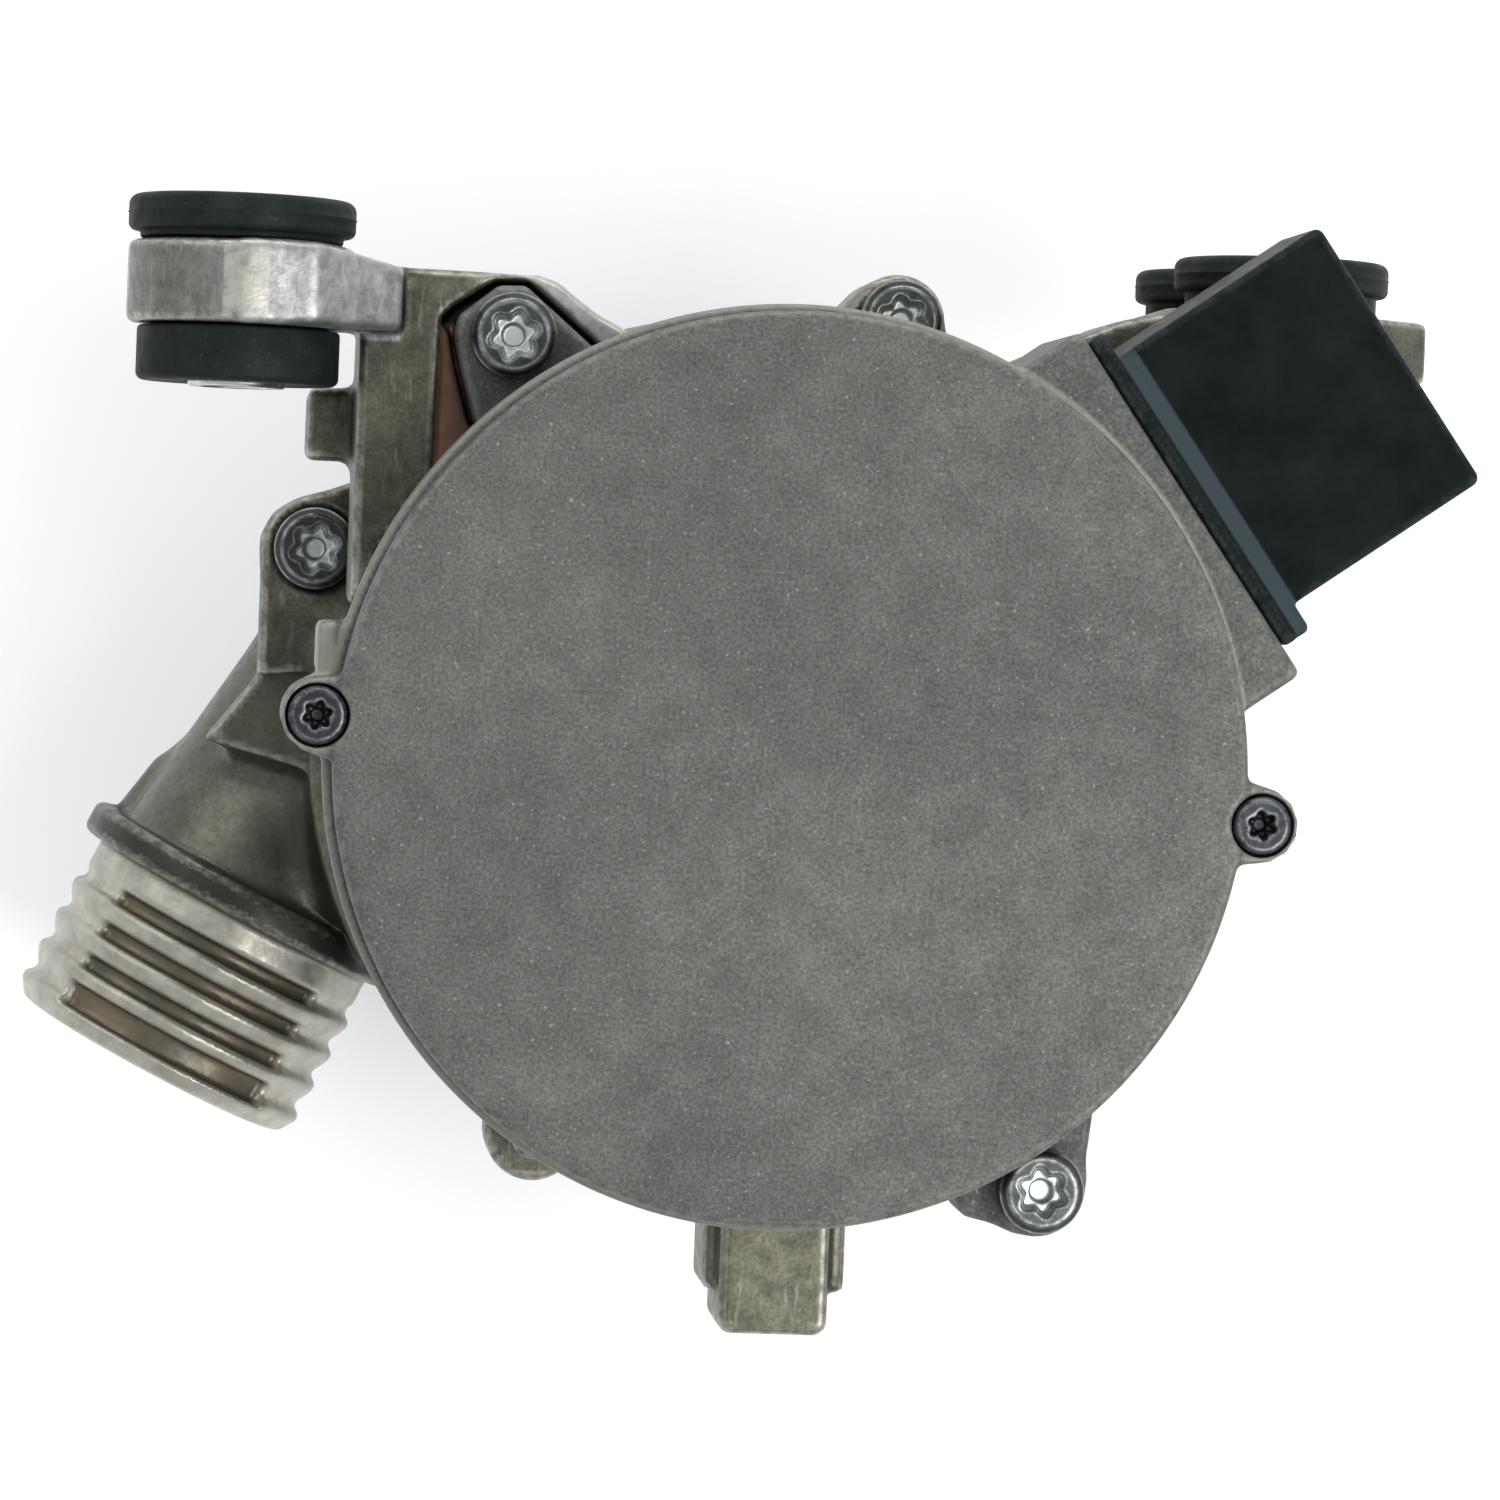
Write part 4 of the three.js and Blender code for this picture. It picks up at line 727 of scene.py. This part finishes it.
BRACKET = [(-30, 10), (-54.2, 18.4), (-54.2, 60.6), (-49.5, 60.4), (-32, 60.2), (-29.4, 59.3),
           (-26.9, 57.3), (-24.3, 55.5), (-21.4, 54.1), (-5, 40)]
BOSS_ROOM = [(-20, 30), (-44.6, 30), (-44.1, 54.3), (-42.8, 55.7), (-37.4, 59.3), (-33.3, 59.4),
             (-23.6, 51.2), (-10, 42)]
POCKET = [(-46, 31), (-46, 54), (-43.2, 53), (-42.1, 47.8), (-40.2, 41.4), (-35.6, 36), (-31.5, 31)]
FLANGE_PLATE = [(-36, 40), (-53.6, 34), (-60.5, 31.3), (-63.7, 29.4), (-65.2, 26.4), (-65.2, 8), (-54, 9),
                (-40, 0)]
EAR_WEB = [(20, 42), (33, 53.5), (44.4, 58.6), (49.5, 59.8), (70, 59.8), (72, 52.2), (57, 40), (48, 14)]
FOOT = [(-2.6, -46), (-2.6, -73.7), (-1.4, -74.9), (10.6, -74.9), (11.8, -73.7), (11.8, -46)]
FLANGE_SCREWS = VOLUTE_SCREWS[:3]
LOWER_SCREW = VOLUTE_SCREWS[3]  # driven from the volute's side


def screw_boss(b, place, r, low, high):
    """A round boss at a flange screw, with a web back to the body."""
    x, y, _ = place
    angle = math.degrees(math.atan2(y, x))
    reach = math.hypot(x, y)
    b.add(b.disc(x, y, r, low, high, 0.8), 2)
    web = turned_outline([(46, -8), (reach, -r), (reach, r), (46, 8)], angle)
    b.add(b.prism(web, low, high, 0.8), 2.5)


def ear_block(centre, low):
    """The (x, z) outline of the block that holds the second and third bushes."""
    left, right, top, corner = centre[0] - 16.4, centre[0] + 18.1, centre[2] + 16.4, 8
    return [(left, low + corner), (left + corner, low), (right - corner, low), (right, low + corner),
            (right, top - corner), (right - corner, top), (left + corner, top), (left, top - corner)]


def motor_casting():
    b = Block(MOTOR_LOW, MOTOR_HIGH, 0.46)
    top = MID_Z - GAP
    flange_top = FLANGE_Z + FLANGE_T
    b.add(b.turned([(0, top), (BODY_R, top), (BODY_R, flange_top + 3), (FLANGE_R, flange_top),
                    (FLANGE_R, FLANGE_Z - 9), (0, FLANGE_Z - 9)]))
    b.add(b.prism(BRACKET, MID_Z - 22, top, 0.8), 2)
    raised = b.prism(BRACKET, MID_Z - 6, -26, 0.9)
    raised = np.maximum(raised, -b.prism(BOSS_ROOM, top, 10, 0.5))
    raised = np.maximum(raised, BODY_R + 0.9 - np.hypot(b.x, b.y) + 0 * b.z)
    b.add(raised, 0.6)
    pocket_slope = (b.z + 27.2 + 0.6 * (b.x + 44.6)) * 0.86
    b.add(np.maximum(b.prism(POCKET, MID_Z - 6, -26, 0.2), pocket_slope + 0 * b.y))
    (x1, _, z1), second, third = BUSH_CENTRES
    high = EAR_HIGH_Y[0]
    arm = [(x1, z1 + 14), (-60, z1 + 13), (-49.2, z1 + 5), (-49.2, z1 - 16), (-60, z1 - 14),
           (x1, z1 - 14)]
    b.add(b.pin(x1, z1, 14, EAR_LOW_Y, high, 0.7))
    slope = (b.y - (high - 0.9) + 0.21 * (b.x + 55.5)) * 0.98
    b.add(np.maximum(b.prism_y(arm, EAR_LOW_Y + 0.3, high, 0.8), slope + 0 * b.z), 1)
    b.add(b.prism_y(ear_block(second, third[2] - 16.4), EAR_LOW_Y, EAR_HIGH_Y[1], 0.8))
    b.add(b.prism(EAR_WEB, -74, -46, 1.0), 3)
    b.add(b.box((-60.2, -45), (36.4, 45.4), (-60, -40), 1.0), 2)
    b.add(b.prism(FOOT, -66, -48, 0.9), 1.5)
    b.add(b.box((-4.6, 14), (-69.4, -46), (-66, -50), 0.9), 0.5)
    b.add(b.prism(FLANGE_PLATE, FLANGE_Z - 9, FLANGE_Z + FLANGE_T, 0.8), 2)
    for place in LONG_SCREWS:
        screw_boss(b, place, BOSS_R, MID_Z - 28, top)
    for place in FLANGE_SCREWS:
        screw_boss(b, place, BOSS_R, FLANGE_Z - 9, flange_top)
        b.cut(b.disc(place[0], place[1], M6_HEAD_R + 0.3, flange_top, flange_top + 7.3, 0.1))
    screw_boss(b, LOWER_SCREW, BOSS_R, FLANGE_Z - 9, LOWER_BOSS_HIGH_Z)
    b.cut(b.disc(0, 0, 74, BELOW, FLANGE_Z, 0.1))
    b.cut(b.disc(0, 0, BORE_R, BELOW, 0, 0.1))
    b.cut(b.disc(0, 0, ROOM_R + 0.3, BELOW, FLANGE_Z + 3.4, 0.1))
    b.cut(b.turned([(50.4, MID_Z - 2.5), (53.6, MID_Z - 2.5), (53.6, ABOVE), (50.4, ABOVE)]))
    for (x, _, z), ear_high in zip(BUSH_CENTRES, EAR_HIGH_Y):
        b.cut(b.pin(x, z, EAR_BORE_R, EAR_LOW_Y - 3, ear_high + 3, 0.1), 0.8)
        b.cut(b.pin(x, z, BUSH_NECK_R + 1, EAR_LOW_Y - 16, EAR_LOW_Y, 1.0))
    for x, y, _ in LONG_SCREWS:
        b.cut(b.disc(x, y, M6_HOLE_R, MID_Z - 18, ABOVE, 0.1))
    for x, y, _ in FLANGE_SCREWS:
        b.cut(b.disc(x, y, M6_HOLE_R, BELOW, FLANGE_Z + FLANGE_T + 5, 0.1))
    b.cut(b.disc(LOWER_SCREW[0], LOWER_SCREW[1], M6_HOLE_R, BELOW, LOWER_BOSS_HIGH_Z - 3, 0.1))
    mesh = b.skin("motor_casting")
    paint_motor(mesh)
    piece("motor_casting", mesh, MATERIALS["cast_aluminium"], "cast_aluminium",
          "housing", "motor_housing")


def paint_motor(mesh):
    """The first ear is bare metal with a painted highlight growing towards +x onto its arm; a wing by the
    upper boss has a painted highlight; the pocket beside the boss is rust-stained.
    """
    x, y, z = positions(mesh)
    x1 = BUSH_CENTRES[0][0]
    ear = within(x, x1 - 16, -49, 0.5) * within(y, EAR_LOW_Y - 1, 70, 0.5)
    # painted highlight: brighter towards +x over the ear's ring and arm, and on the wing
    ear_highlight = 0.25 + 0.5 * np.clip((x - x1 + 4) / 9, 0, 1) + 0.2 * np.clip((x + 62) / 6, 0, 1)
    wing_highlight = within(x, -35, -18) * within(y, 47, 62) * within(z, -33, 0)
    paint(mesh, "bright", np.clip(np.maximum(ear * ear_highlight, 0.9 * wing_highlight), 0, 1))
    pocket = within(x, -45.2, -31, 0.4) * within(y, 31, 54) * within(z, -43, -26.6, 0.3)
    paint(mesh, "rusty", 0.85 * pocket)


# One barb: steps along the nozzle from its crest, and how far it stands out there
BARB = ((-2.7, 0.5), (-2.2, 0), (-1.1, 0), (-0.4, RIB_RISE * 0.8), (0, RIB_RISE), (0.6, RIB_RISE * 0.9))


def rib_outline(start, mouth):
    """The nozzle's outline from the collar to the mouth: barbs, steep on the collar's side."""
    toward = math.copysign(1, mouth - start)
    points = [(NOZZLE_R + 0.4, start)]
    for i in range(RIB_COUNT):
        crest = RIB_FIRST + i * RIB_PITCH
        points += [(NOZZLE_R + rise, start + toward * (crest + step)) for step, rise in BARB]
    points += [(NOZZLE_R + 0.4, mouth - toward * 1.2), (NOZZLE_R, mouth - toward * 0.3),
               (NOZZLE_R - 0.6, mouth)]
    return points


def slot_stations():
    """Where each slot of the outlet nozzle starts and ends along its axis."""
    crests = [COLLAR_S + COLLAR_T + RIB_FIRST + i * RIB_PITCH for i in range(RIB_COUNT)]
    middles = [crest - SLOT_TO_CREST for crest in crests]
    return [(middle - width / 2, middle + width / 2) for middle, width in zip(middles, SLOT_WIDTHS)]


def spiral_outline(inner, outer):
    """The volute's wall, which grows in the direction of flow from the tongue to the outlet."""
    tongue, sweep, steps = 205, 300, 48
    return [polar(inner + (outer - inner) * i / steps, tongue + sweep * i / steps)
            for i in range(steps + 1)]


def volute_casting():
    b = Block(VOLUTE_LOW, VOLUTE_HIGH, 0.42)
    top = FLANGE_Z - GAP
    plate = [*FLANGE_PLATE[:5], (-65.2, 7.7), (-71.9, -0.9), outlet_point(30, 2), outlet_point(24, -10),
             (-40, -20)]
    b.add(b.prism(spiral_outline(45, 60), VOLUTE_LOW_Z, top + 5, 4))
    b.add(b.disc(0, 0, FLANGE_R, top - FLANGE_T, top + 5, 0.8), 3)
    b.add(b.prism(plate, top - FLANGE_T, top + 5, 0.8), 2)
    for place in FLANGE_SCREWS:
        screw_boss(b, place, BOSS_R, top - 16, top + 5)
    screw_boss(b, LOWER_SCREW, BOSS_R, top - FLANGE_T, top + 5)
    b.add(b.turned_outlet([(0, -4), (13.5, -4), (15.5, 20), (19, COLLAR_S + 2), (0, COLLAR_S + 2)]), 6)
    gusset = [outlet_point(s, v)
              for s, v in ((28, 0), (32, 13), (39, 19), (COLLAR_S + 1, 20.8), (COLLAR_S + 1, 0))]
    b.add(b.prism(gusset, -108, -101, 1), 4)
    inlet_collar = INLET_COLLAR_Z - COLLAR_T
    b.add(b.turned([(0, VOLUTE_LOW_Z + 4), (28, VOLUTE_LOW_Z + 1), (19.5, INLET_COLLAR_Z + 1),
                    (19.5, INLET_COLLAR_Z - 2), (0, INLET_COLLAR_Z - 2)]), 4)
    b.add(b.turned([(0, INLET_COLLAR_Z), (COLLAR_R - 0.5, INLET_COLLAR_Z),
                    (COLLAR_R, INLET_COLLAR_Z - 0.5), (COLLAR_R, inlet_collar + 0.5),
                    (COLLAR_R - 0.5, inlet_collar), *rib_outline(inlet_collar, INLET_LOW_Z),
                    (0, INLET_LOW_Z)]), 0.8)
    collar_end = COLLAR_S + COLLAR_T
    b.add(b.turned_outlet([(0, COLLAR_S), (COLLAR_R - 0.6, COLLAR_S), (COLLAR_R, COLLAR_S + 0.6),
                           (COLLAR_R, collar_end - 0.6), (COLLAR_R - 0.6, collar_end),
                           *rib_outline(collar_end, MOUTH_S), (0, MOUTH_S)]), 0.8)
    along, across, rise = b.outlet_frame()
    sector = np.abs(np.arctan2(across, np.abs(rise))) - SLOT_HALF_ANGLE
    floor = SLOT_R - np.hypot(across, rise)
    for low, high in slot_stations():
        b.cut(np.maximum(np.maximum(sector * NOZZLE_R, floor), between(along, low, high)))
    b.cut(b.disc(0, 0, FLANGE_R + 0.4, top, 0, 0.1))
    b.f = np.maximum(b.f, b.z - top)
    b.cut(b.disc(0, 0, ROOM_R + 0.3, top - 4.2, 0, 0.1))
    b.cut(b.prism(spiral_outline(40, 55.5), CHAMBER_LOW_Z, top - 4, 3))
    b.cut(b.disc(0, 0, IMPELLER_R + 1.5, CHAMBER_LOW_Z, top - 4, 0.5))
    b.cut(b.disc(0, 0, 18.6, -108, -104, 0.5))
    b.cut(b.disc(0, 0, NOZZLE_BORE_R, INLET_LOW_Z - 9, -104, 0.1))
    b.cut(b.turned_outlet([(0, 4), (6.4, 4), (7.6, 20), (10.5, 34), (NOZZLE_BORE_R, COLLAR_S),
                           (NOZZLE_BORE_R, MOUTH_S + 9), (0, MOUTH_S + 9)]), 1)
    for x, y, _ in FLANGE_SCREWS:
        b.cut(b.disc(x, y, M6_HOLE_R, top - 12, 0, 0.1))
    b.cut(b.disc(LOWER_SCREW[0], LOWER_SCREW[1], M6_HOLE_R, top - FLANGE_T - 3, 0, 0.1))
    x2, _, z3 = BUSH_CENTRES[2]
    b.cut(b.box((x2 - 17.5, x2 + 30), (EAR_LOW_Y - 1, 90), (z3 - 18, 0), 0.1))
    mesh = b.skin("volute_casting")
    paint_nozzles(mesh)
    piece("volute_casting", mesh, MATERIALS["volute_aluminium"], "volute_aluminium",
          "housing", "volute_housing")


def paint_nozzles(mesh):
    """The turned nozzles are bright with dark slots; the outlet's collar and duct get painted shade."""
    x, y, z = positions(mesh)
    c, s = math.cos(OUTLET_ANGLE), math.sin(OUTLET_ANGLE)
    along = x * c + y * s
    across = x * s - y * c - OUTLET_OFFSET
    outlet_r = np.hypot(across, z - OUTLET_Z)
    inlet_r = np.hypot(x, y)
    collar_end = COLLAR_S + COLLAR_T
    on_outlet = np.clip((along - collar_end - 0.2) / 0.6, 0, 1) * (outlet_r < COLLAR_R + 1)
    on_inlet = np.clip((INLET_COLLAR_Z - COLLAR_T - 0.2 - z) / 0.6, 0, 1) * (inlet_r < COLLAR_R + 1)
    deep = np.clip((NOZZLE_R - 0.1 - outlet_r) / 0.5, 0, 1) * (outlet_r > SLOT_R - 0.5)
    in_slot = sum(within(along, low - 0.3, high + 0.3, 0.3) for low, high in slot_stations())
    # painted shade: the collar and a band of the duct are darkened
    collar = within(along, COLLAR_S - 1, collar_end + 0.4, 0.6) * (outlet_r > NOZZLE_R)
    duct = 0.7 * within(along, 22, COLLAR_S, 6) * within(across, -20, 4, 5) * (outlet_r < NOZZLE_R + 2)
    paint(mesh, "bright", np.maximum(on_outlet, on_inlet))
    paint(mesh, "groove", deep * np.clip(in_slot, 0, 1) * on_outlet)
    paint(mesh, "painted_shade", np.maximum(0.9 * collar, duct))


# Connector

# Its sizes in the connector's frame: distances outwards, along the face from its middle, and z
SHELL_MOUTH = 92.7
SHELL_T = 1.0
SHELL_HALF = 18.9
SHELL_FLANGE = 22.6
SHELL_LEDGE = 17.5
SHELL_HIGH_Z = -12
SHELL_LOW_Z = -36
SHELL_WALL = 2.2
CONTACTS = ((-10.5, 6.3), (-2, 2.6), (4, 2.6), (11.5, 6.3))  # place along the face, and width


def connector():
    low, high = cad_box("connector_shell")
    b = Block(low, high, 0.28)
    inside = SHELL_HALF - SHELL_WALL
    flange = (SHELL_T - SHELL_FLANGE, SHELL_T + SHELL_FLANGE)
    ledge = (SHELL_T - SHELL_FLANGE, SHELL_T + SHELL_LEDGE)
    walls = (SHELL_T - SHELL_HALF, SHELL_T + SHELL_HALF)
    room = (SHELL_T - inside, SHELL_T + inside)
    room_z = (SHELL_LOW_Z + SHELL_WALL, SHELL_HIGH_Z - SHELL_WALL)
    b.add(b.platform((PLATFORM_N + GAP, 62.5), flange, (SHELL_LOW_Z - 2, SHELL_HIGH_Z + 1), 0.6))
    b.add(b.platform((62, 64.4), ledge, (SHELL_LOW_Z - 2, SHELL_HIGH_Z + 0.6), 0.8), 0.3)
    b.add(b.platform((60.8, SHELL_MOUTH), walls, (SHELL_LOW_Z, SHELL_HIGH_Z), 1.1), 0.6)
    b.add(b.platform((52, 62), (-15, 16), (-30, -14), 0.5))
    b.cut(b.platform((68, SHELL_MOUTH + 9), room, room_z, 0.8), 0.3)
    groove = np.maximum(b.platform((56, 58.6), (-20, 20), (-32, -10), 0.1),
                        -b.platform((50, 62), (-13.6, 14.6), (-28.6, -15.4), 0.3))
    b.cut(groove)
    for t, width in CONTACTS:
        b.cut(b.platform((40, 70), (t - width / 2 - 0.3, t + width / 2 + 0.3), (-19.2, -17.8), 0.1))
    mesh = b.skin("connector_moulding")
    x, y, z = positions(mesh)
    out = x * math.cos(CONNECTOR_ANGLE) + y * math.sin(CONNECTOR_ANGLE)
    # painted sheen: the top of the sealing ledge is marked to be painted grey
    paint(mesh, "ledge", within(out, 62.3, 64.9, 0.3) * within(z, SHELL_HIGH_Z - 1.5, 0, 0.5))
    piece("connector_moulding", mesh, MATERIALS["black_plastic"], "black_plastic",
          "housing", "connector_shell")


# Turned pieces


def lathe_mesh(name, outline, turns):
    """A closed (radius, height) outline turned about Z, in millimetres, as a mesh of quads."""
    points, faces = [], []
    n = len(outline)
    for i in range(turns):
        a = 2 * math.pi * i / turns
        points += [(r * math.cos(a) * MM, r * math.sin(a) * MM, h * MM) for r, h in outline]
        for j in range(n):
            k, l = (j + 1) % n, ((i + 1) % turns) * n
            faces.append((i * n + j, i * n + k, l + k, l + j))
    return mesh_from(name, np.array(points), np.array(faces))


def arc(cx, cy, r, start, end, steps=6):
    offsets = [polar(r, start + (end - start) * i / steps) for i in range(steps + 1)]
    return [(cx + x, cy + y) for x, y in offsets]


def bush_outline(inner, ear_high):
    """Rubber bush about its bolt axis: a wide flange on a neck, a waist in the ear, a lower sleeve."""
    top, bottom = BUSH_HIGH_Y, BUSH_LOW_Y
    seam = (BUSH_FLANGE_Y + top) / 2
    return [
        *arc(BUSH_NECK_R - 1.0, bottom + 1.0, 1.0, -90, 0),
        *arc(BUSH_NECK_R - 0.5, EAR_LOW_Y - 0.3 - 0.5, 0.5, 0, 90, 4),
        (EAR_BORE_R - 0.3, EAR_LOW_Y - 0.3),
        (EAR_BORE_R - 0.3, ear_high + 0.3),
        *arc(BUSH_NECK_R - 0.3, ear_high + 0.6, 0.3, -90, 0, 3),
        (BUSH_NECK_R, BUSH_FLANGE_Y - 0.3),
        (BUSH_NECK_R + 0.3, BUSH_FLANGE_Y),
        *arc(BUSH_R - 0.9, BUSH_FLANGE_Y + 0.9, 0.9, -90, 0),
        (BUSH_R, seam - 0.12),
        (BUSH_R + 0.12, seam),
        (BUSH_R, seam + 0.12),
        *arc(BUSH_R - 1.3, top - 1.3, 1.3, 0, 90),
        (11.8, top),
        (11.2, top - 0.5),
        (8.4, top - 0.5),
        (8.0, top),
        *arc(inner + 0.5, top - 0.5, 0.5, 90, 180, 3),
        *arc(inner + 0.5, bottom + 0.5, 0.5, 180, 270, 3),
    ]


def bushes():
    sleeve_low, sleeve_high = cad_box("bush_sleeve_1")
    outer, bore = (sleeve_high[0] - sleeve_low[0]) / 2, 4.3
    low, high = sleeve_low[1], sleeve_high[1]
    sleeve_outline = [(bore + 0.4, low), (outer - 0.3, low), (outer, low + 0.3), (outer, high - 0.3),
                      (outer - 0.3, high), (bore + 0.4, high), (bore, high - 0.4), (bore, low + 0.4)]
    stand = Matrix.Rotation(-math.pi / 2, 4, "X")
    for i, (x, _, z) in enumerate(BUSH_CENTRES, 1):
        place = Matrix.Translation((x * MM, 0, z * MM)) @ stand
        rubber_mesh = lathe_mesh(f"bush_rubber_{i}", bush_outline(outer + 0.3, EAR_HIGH_Y[i - 1]), 120)
        sleeve_mesh = lathe_mesh(f"bush_tube_{i}", sleeve_outline, 64)
        for mesh in (rubber_mesh, sleeve_mesh):
            mesh.transform(place)
        piece(f"bush_rubber_{i}", rubber_mesh, MATERIALS["black_rubber"], "black_rubber", "housing",
              f"mount_bush_{i}")
        piece(f"bush_tube_{i}", sleeve_mesh, MATERIALS["bright_steel"], "bright_steel", "housing",
              f"bush_sleeve_{i}")


def screw_mesh(name, shank, head, head_height, chamfer, lobe, depth, length):
    """A low-headed screw with a six-lobed socket. The head's underside is at z = 0; shank, head and
    lobe are radii."""
    b = Block((-head, -head, -length), (head, head, head_height), 0.14)
    r = np.hypot(b.x, b.y)
    b.add(rounded(r - head, between(b.z, 0, head_height), 0.3))
    b.cut((head + head_height - chamfer - r - b.z) * math.sqrt(0.5))
    thread = 0.16 * np.abs((b.z % 1.0) - 0.5) * (b.z < -4)
    b.add(rounded(r - shank + thread, between(b.z, -length, 1), 0.4))
    angle = np.arctan2(b.y + 0 * b.x, b.x + 0 * b.y)
    lobes = lobe * (0.88 + 0.12 * np.cos(6 * angle))
    taper = 0.3 * (head_height - b.z)
    b.cut(np.maximum(r - lobes + taper, head_height - depth - b.z), 0.1)
    b.cut(rounded(r - lobe * 0.42, between(b.z, head_height - depth - 1.2, 20), 0.1), 0.3)
    mesh = b.skin(name)
    x, y, z = positions(mesh)
    # painted light: the socket's walls and floor are marked to be painted bright
    socket_light = within(np.hypot(x, y), -1, lobe + 0.1, 0.2) * within(z, 0.5, head_height - 0.12, 0.1)
    paint(mesh, "socket", socket_light)
    return mesh


M4 = {"shank": 2, "head": M4_HEAD_R, "head_height": 2.8, "chamfer": 0.5, "lobe": 1.9, "depth": 1.7}
M6 = {"shank": 3, "head": M6_HEAD_R, "head_height": 5.3, "chamfer": 0.95, "lobe": 3.3, "depth": 1.9}
SOCKET_TURN = 17  # degrees: each screw of a group stops at another angle
SOCKET_TURN_STEP = 23


def screws():
    m4 = screw_mesh("m4_screw", **M4, length=17)
    m6 = screw_mesh("m6_screw", **M6, length=26)
    m6_short = screw_mesh("m6_short_screw", **M6, length=17)
    upright = Matrix.Identity(4)
    turned_over = Matrix.Rotation(math.pi, 4, "X")
    cover_nodes = ["cover_screw_left", "cover_screw_right"]
    long_nodes = ["housing_screw_upper", "housing_screw_lower"]
    flange_nodes = [f"volute_screw_{i}" for i in (1, 2, 3)]
    groups = [
        (m4, "black_steel", cover_nodes, COVER_SCREWS, COVER_SEAT_Z + GAP, upright),
        (m6, "zinc_steel", long_nodes, LONG_SCREWS, SCREW_SEAT_Z + GAP, upright),
        (m6_short, "zinc_steel", flange_nodes, FLANGE_SCREWS, FLANGE_Z + FLANGE_T + GAP, upright),
        (m6_short, "zinc_steel", ["volute_screw_4"], [LOWER_SCREW], LOWER_SEAT_Z, turned_over),
    ]
    for source, slot, nodes, centres, seat, pose in groups:
        for i, (node, (x, y, _)) in enumerate(zip(nodes, centres)):
            mesh = source.copy()
            spin = Matrix.Rotation(math.radians(SOCKET_TURN + SOCKET_TURN_STEP * i), 4, "Z")
            mesh.transform(Matrix.Translation((x * MM, y * MM, seat * MM)) @ pose @ spin)
            piece(f"{node}_fine", mesh, MATERIALS[slot], slot, "housing", node)


# Stage

LENS_MM = 144
SENSOR_MM = 36
CAMERA_DISTANCE = 730
TILT_X = math.radians(5.0)
TILT_Y = math.radians(1.5)
ROLL = math.radians(2.3)
AIM_RIGHT = -5.36
AIM_UP = 2.56
FLOOR_HALF = 2.5  # metres
LIGHT_TARGET = (0, 0, -0.04)


def camera():
    back = Vector((-math.tan(TILT_X), math.tan(TILT_Y), 1)).normalized()
    right = Vector((0, 1, 0)).cross(back).normalized()
    up = back.cross(right)
    turned_right = right * math.cos(ROLL) + up * math.sin(ROLL)
    turned_up = up * math.cos(ROLL) - right * math.sin(ROLL)
    data = bpy.data.cameras.new("camera")
    data.lens = LENS_MM
    data.sensor_width = SENSOR_MM
    data.clip_start, data.clip_end = 0.05, 20
    obj = bpy.data.objects.new("camera", data)
    bpy.context.scene.collection.objects.link(obj)
    axes = Matrix((turned_right, turned_up, back)).transposed().to_4x4()
    place = (back * CAMERA_DISTANCE + turned_right * AIM_RIGHT + turned_up * AIM_UP) * MM
    obj.matrix_world = Matrix.Translation(place) @ axes
    bpy.context.scene.camera = obj


def area_light(name, place, target, size, power, colour=(1, 1, 1)):
    data = bpy.data.lights.new(name, "AREA")
    data.shape = "RECTANGLE"
    data.size, data.size_y = size
    data.energy = power
    data.color = colour
    obj = bpy.data.objects.new(name, data)
    bpy.context.scene.collection.objects.link(obj)
    obj.location = place
    obj.rotation_euler = (Vector(target) - Vector(place)).to_track_quat("-Z", "Y").to_euler()


def stage():
    floor_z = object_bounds()[0].z
    mesh = bpy.data.meshes.new("floor")
    signs = ((-1, -1), (1, -1), (1, 1), (-1, 1))
    corners = [(u * FLOOR_HALF, v * FLOOR_HALF, floor_z) for u, v in signs]
    mesh.from_pydata(corners, [], [(0, 1, 2, 3)])
    floor = bpy.data.objects.new("floor", mesh)
    bpy.context.scene.collection.objects.link(floor)
    m = Nodes("floor_paper")
    m.set(Specular_IOR_Level=0.2)
    m.set(Emission_Color=(1, 1, 1, 1), Emission_Strength=0.12)
    colour = m.ramp(m.noise(120, 2), (0.3, (0.9, 0.9, 0.9)), (0.7, (0.93, 0.93, 0.93)))
    mesh.materials.append(m.finish(colour, m.ramp(m.noise(50), (0.3, 0.8), (0.7, 0.9))))
    floor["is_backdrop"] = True
    world = bpy.data.worlds.new("studio")
    bpy.context.scene.world = world
    world.use_nodes = True
    background = world.node_tree.nodes["Background"]
    background.inputs["Color"].default_value = (0.95, 0.97, 1.0, 1)
    background.inputs["Strength"].default_value = 0.75
    area_light("key_softbox", (0.5, -0.25, 0.95), LIGHT_TARGET, (0.7, 0.7), 9)
    area_light("fill_softbox", (-0.75, 0.55, 0.6), LIGHT_TARGET, (0.5, 0.9), 2.5, (0.95, 0.98, 1.0))
    area_light("rim_softbox", (0.1, 0.95, 0.35), LIGHT_TARGET, (0.9, 0.3), 4)
    bpy.context.scene.view_settings.view_transform = "Standard"


dress_cad_nodes()
cover()
electronics_casting()
motor_casting()
volute_casting()
connector()
bushes()
screws()
stage()
camera()
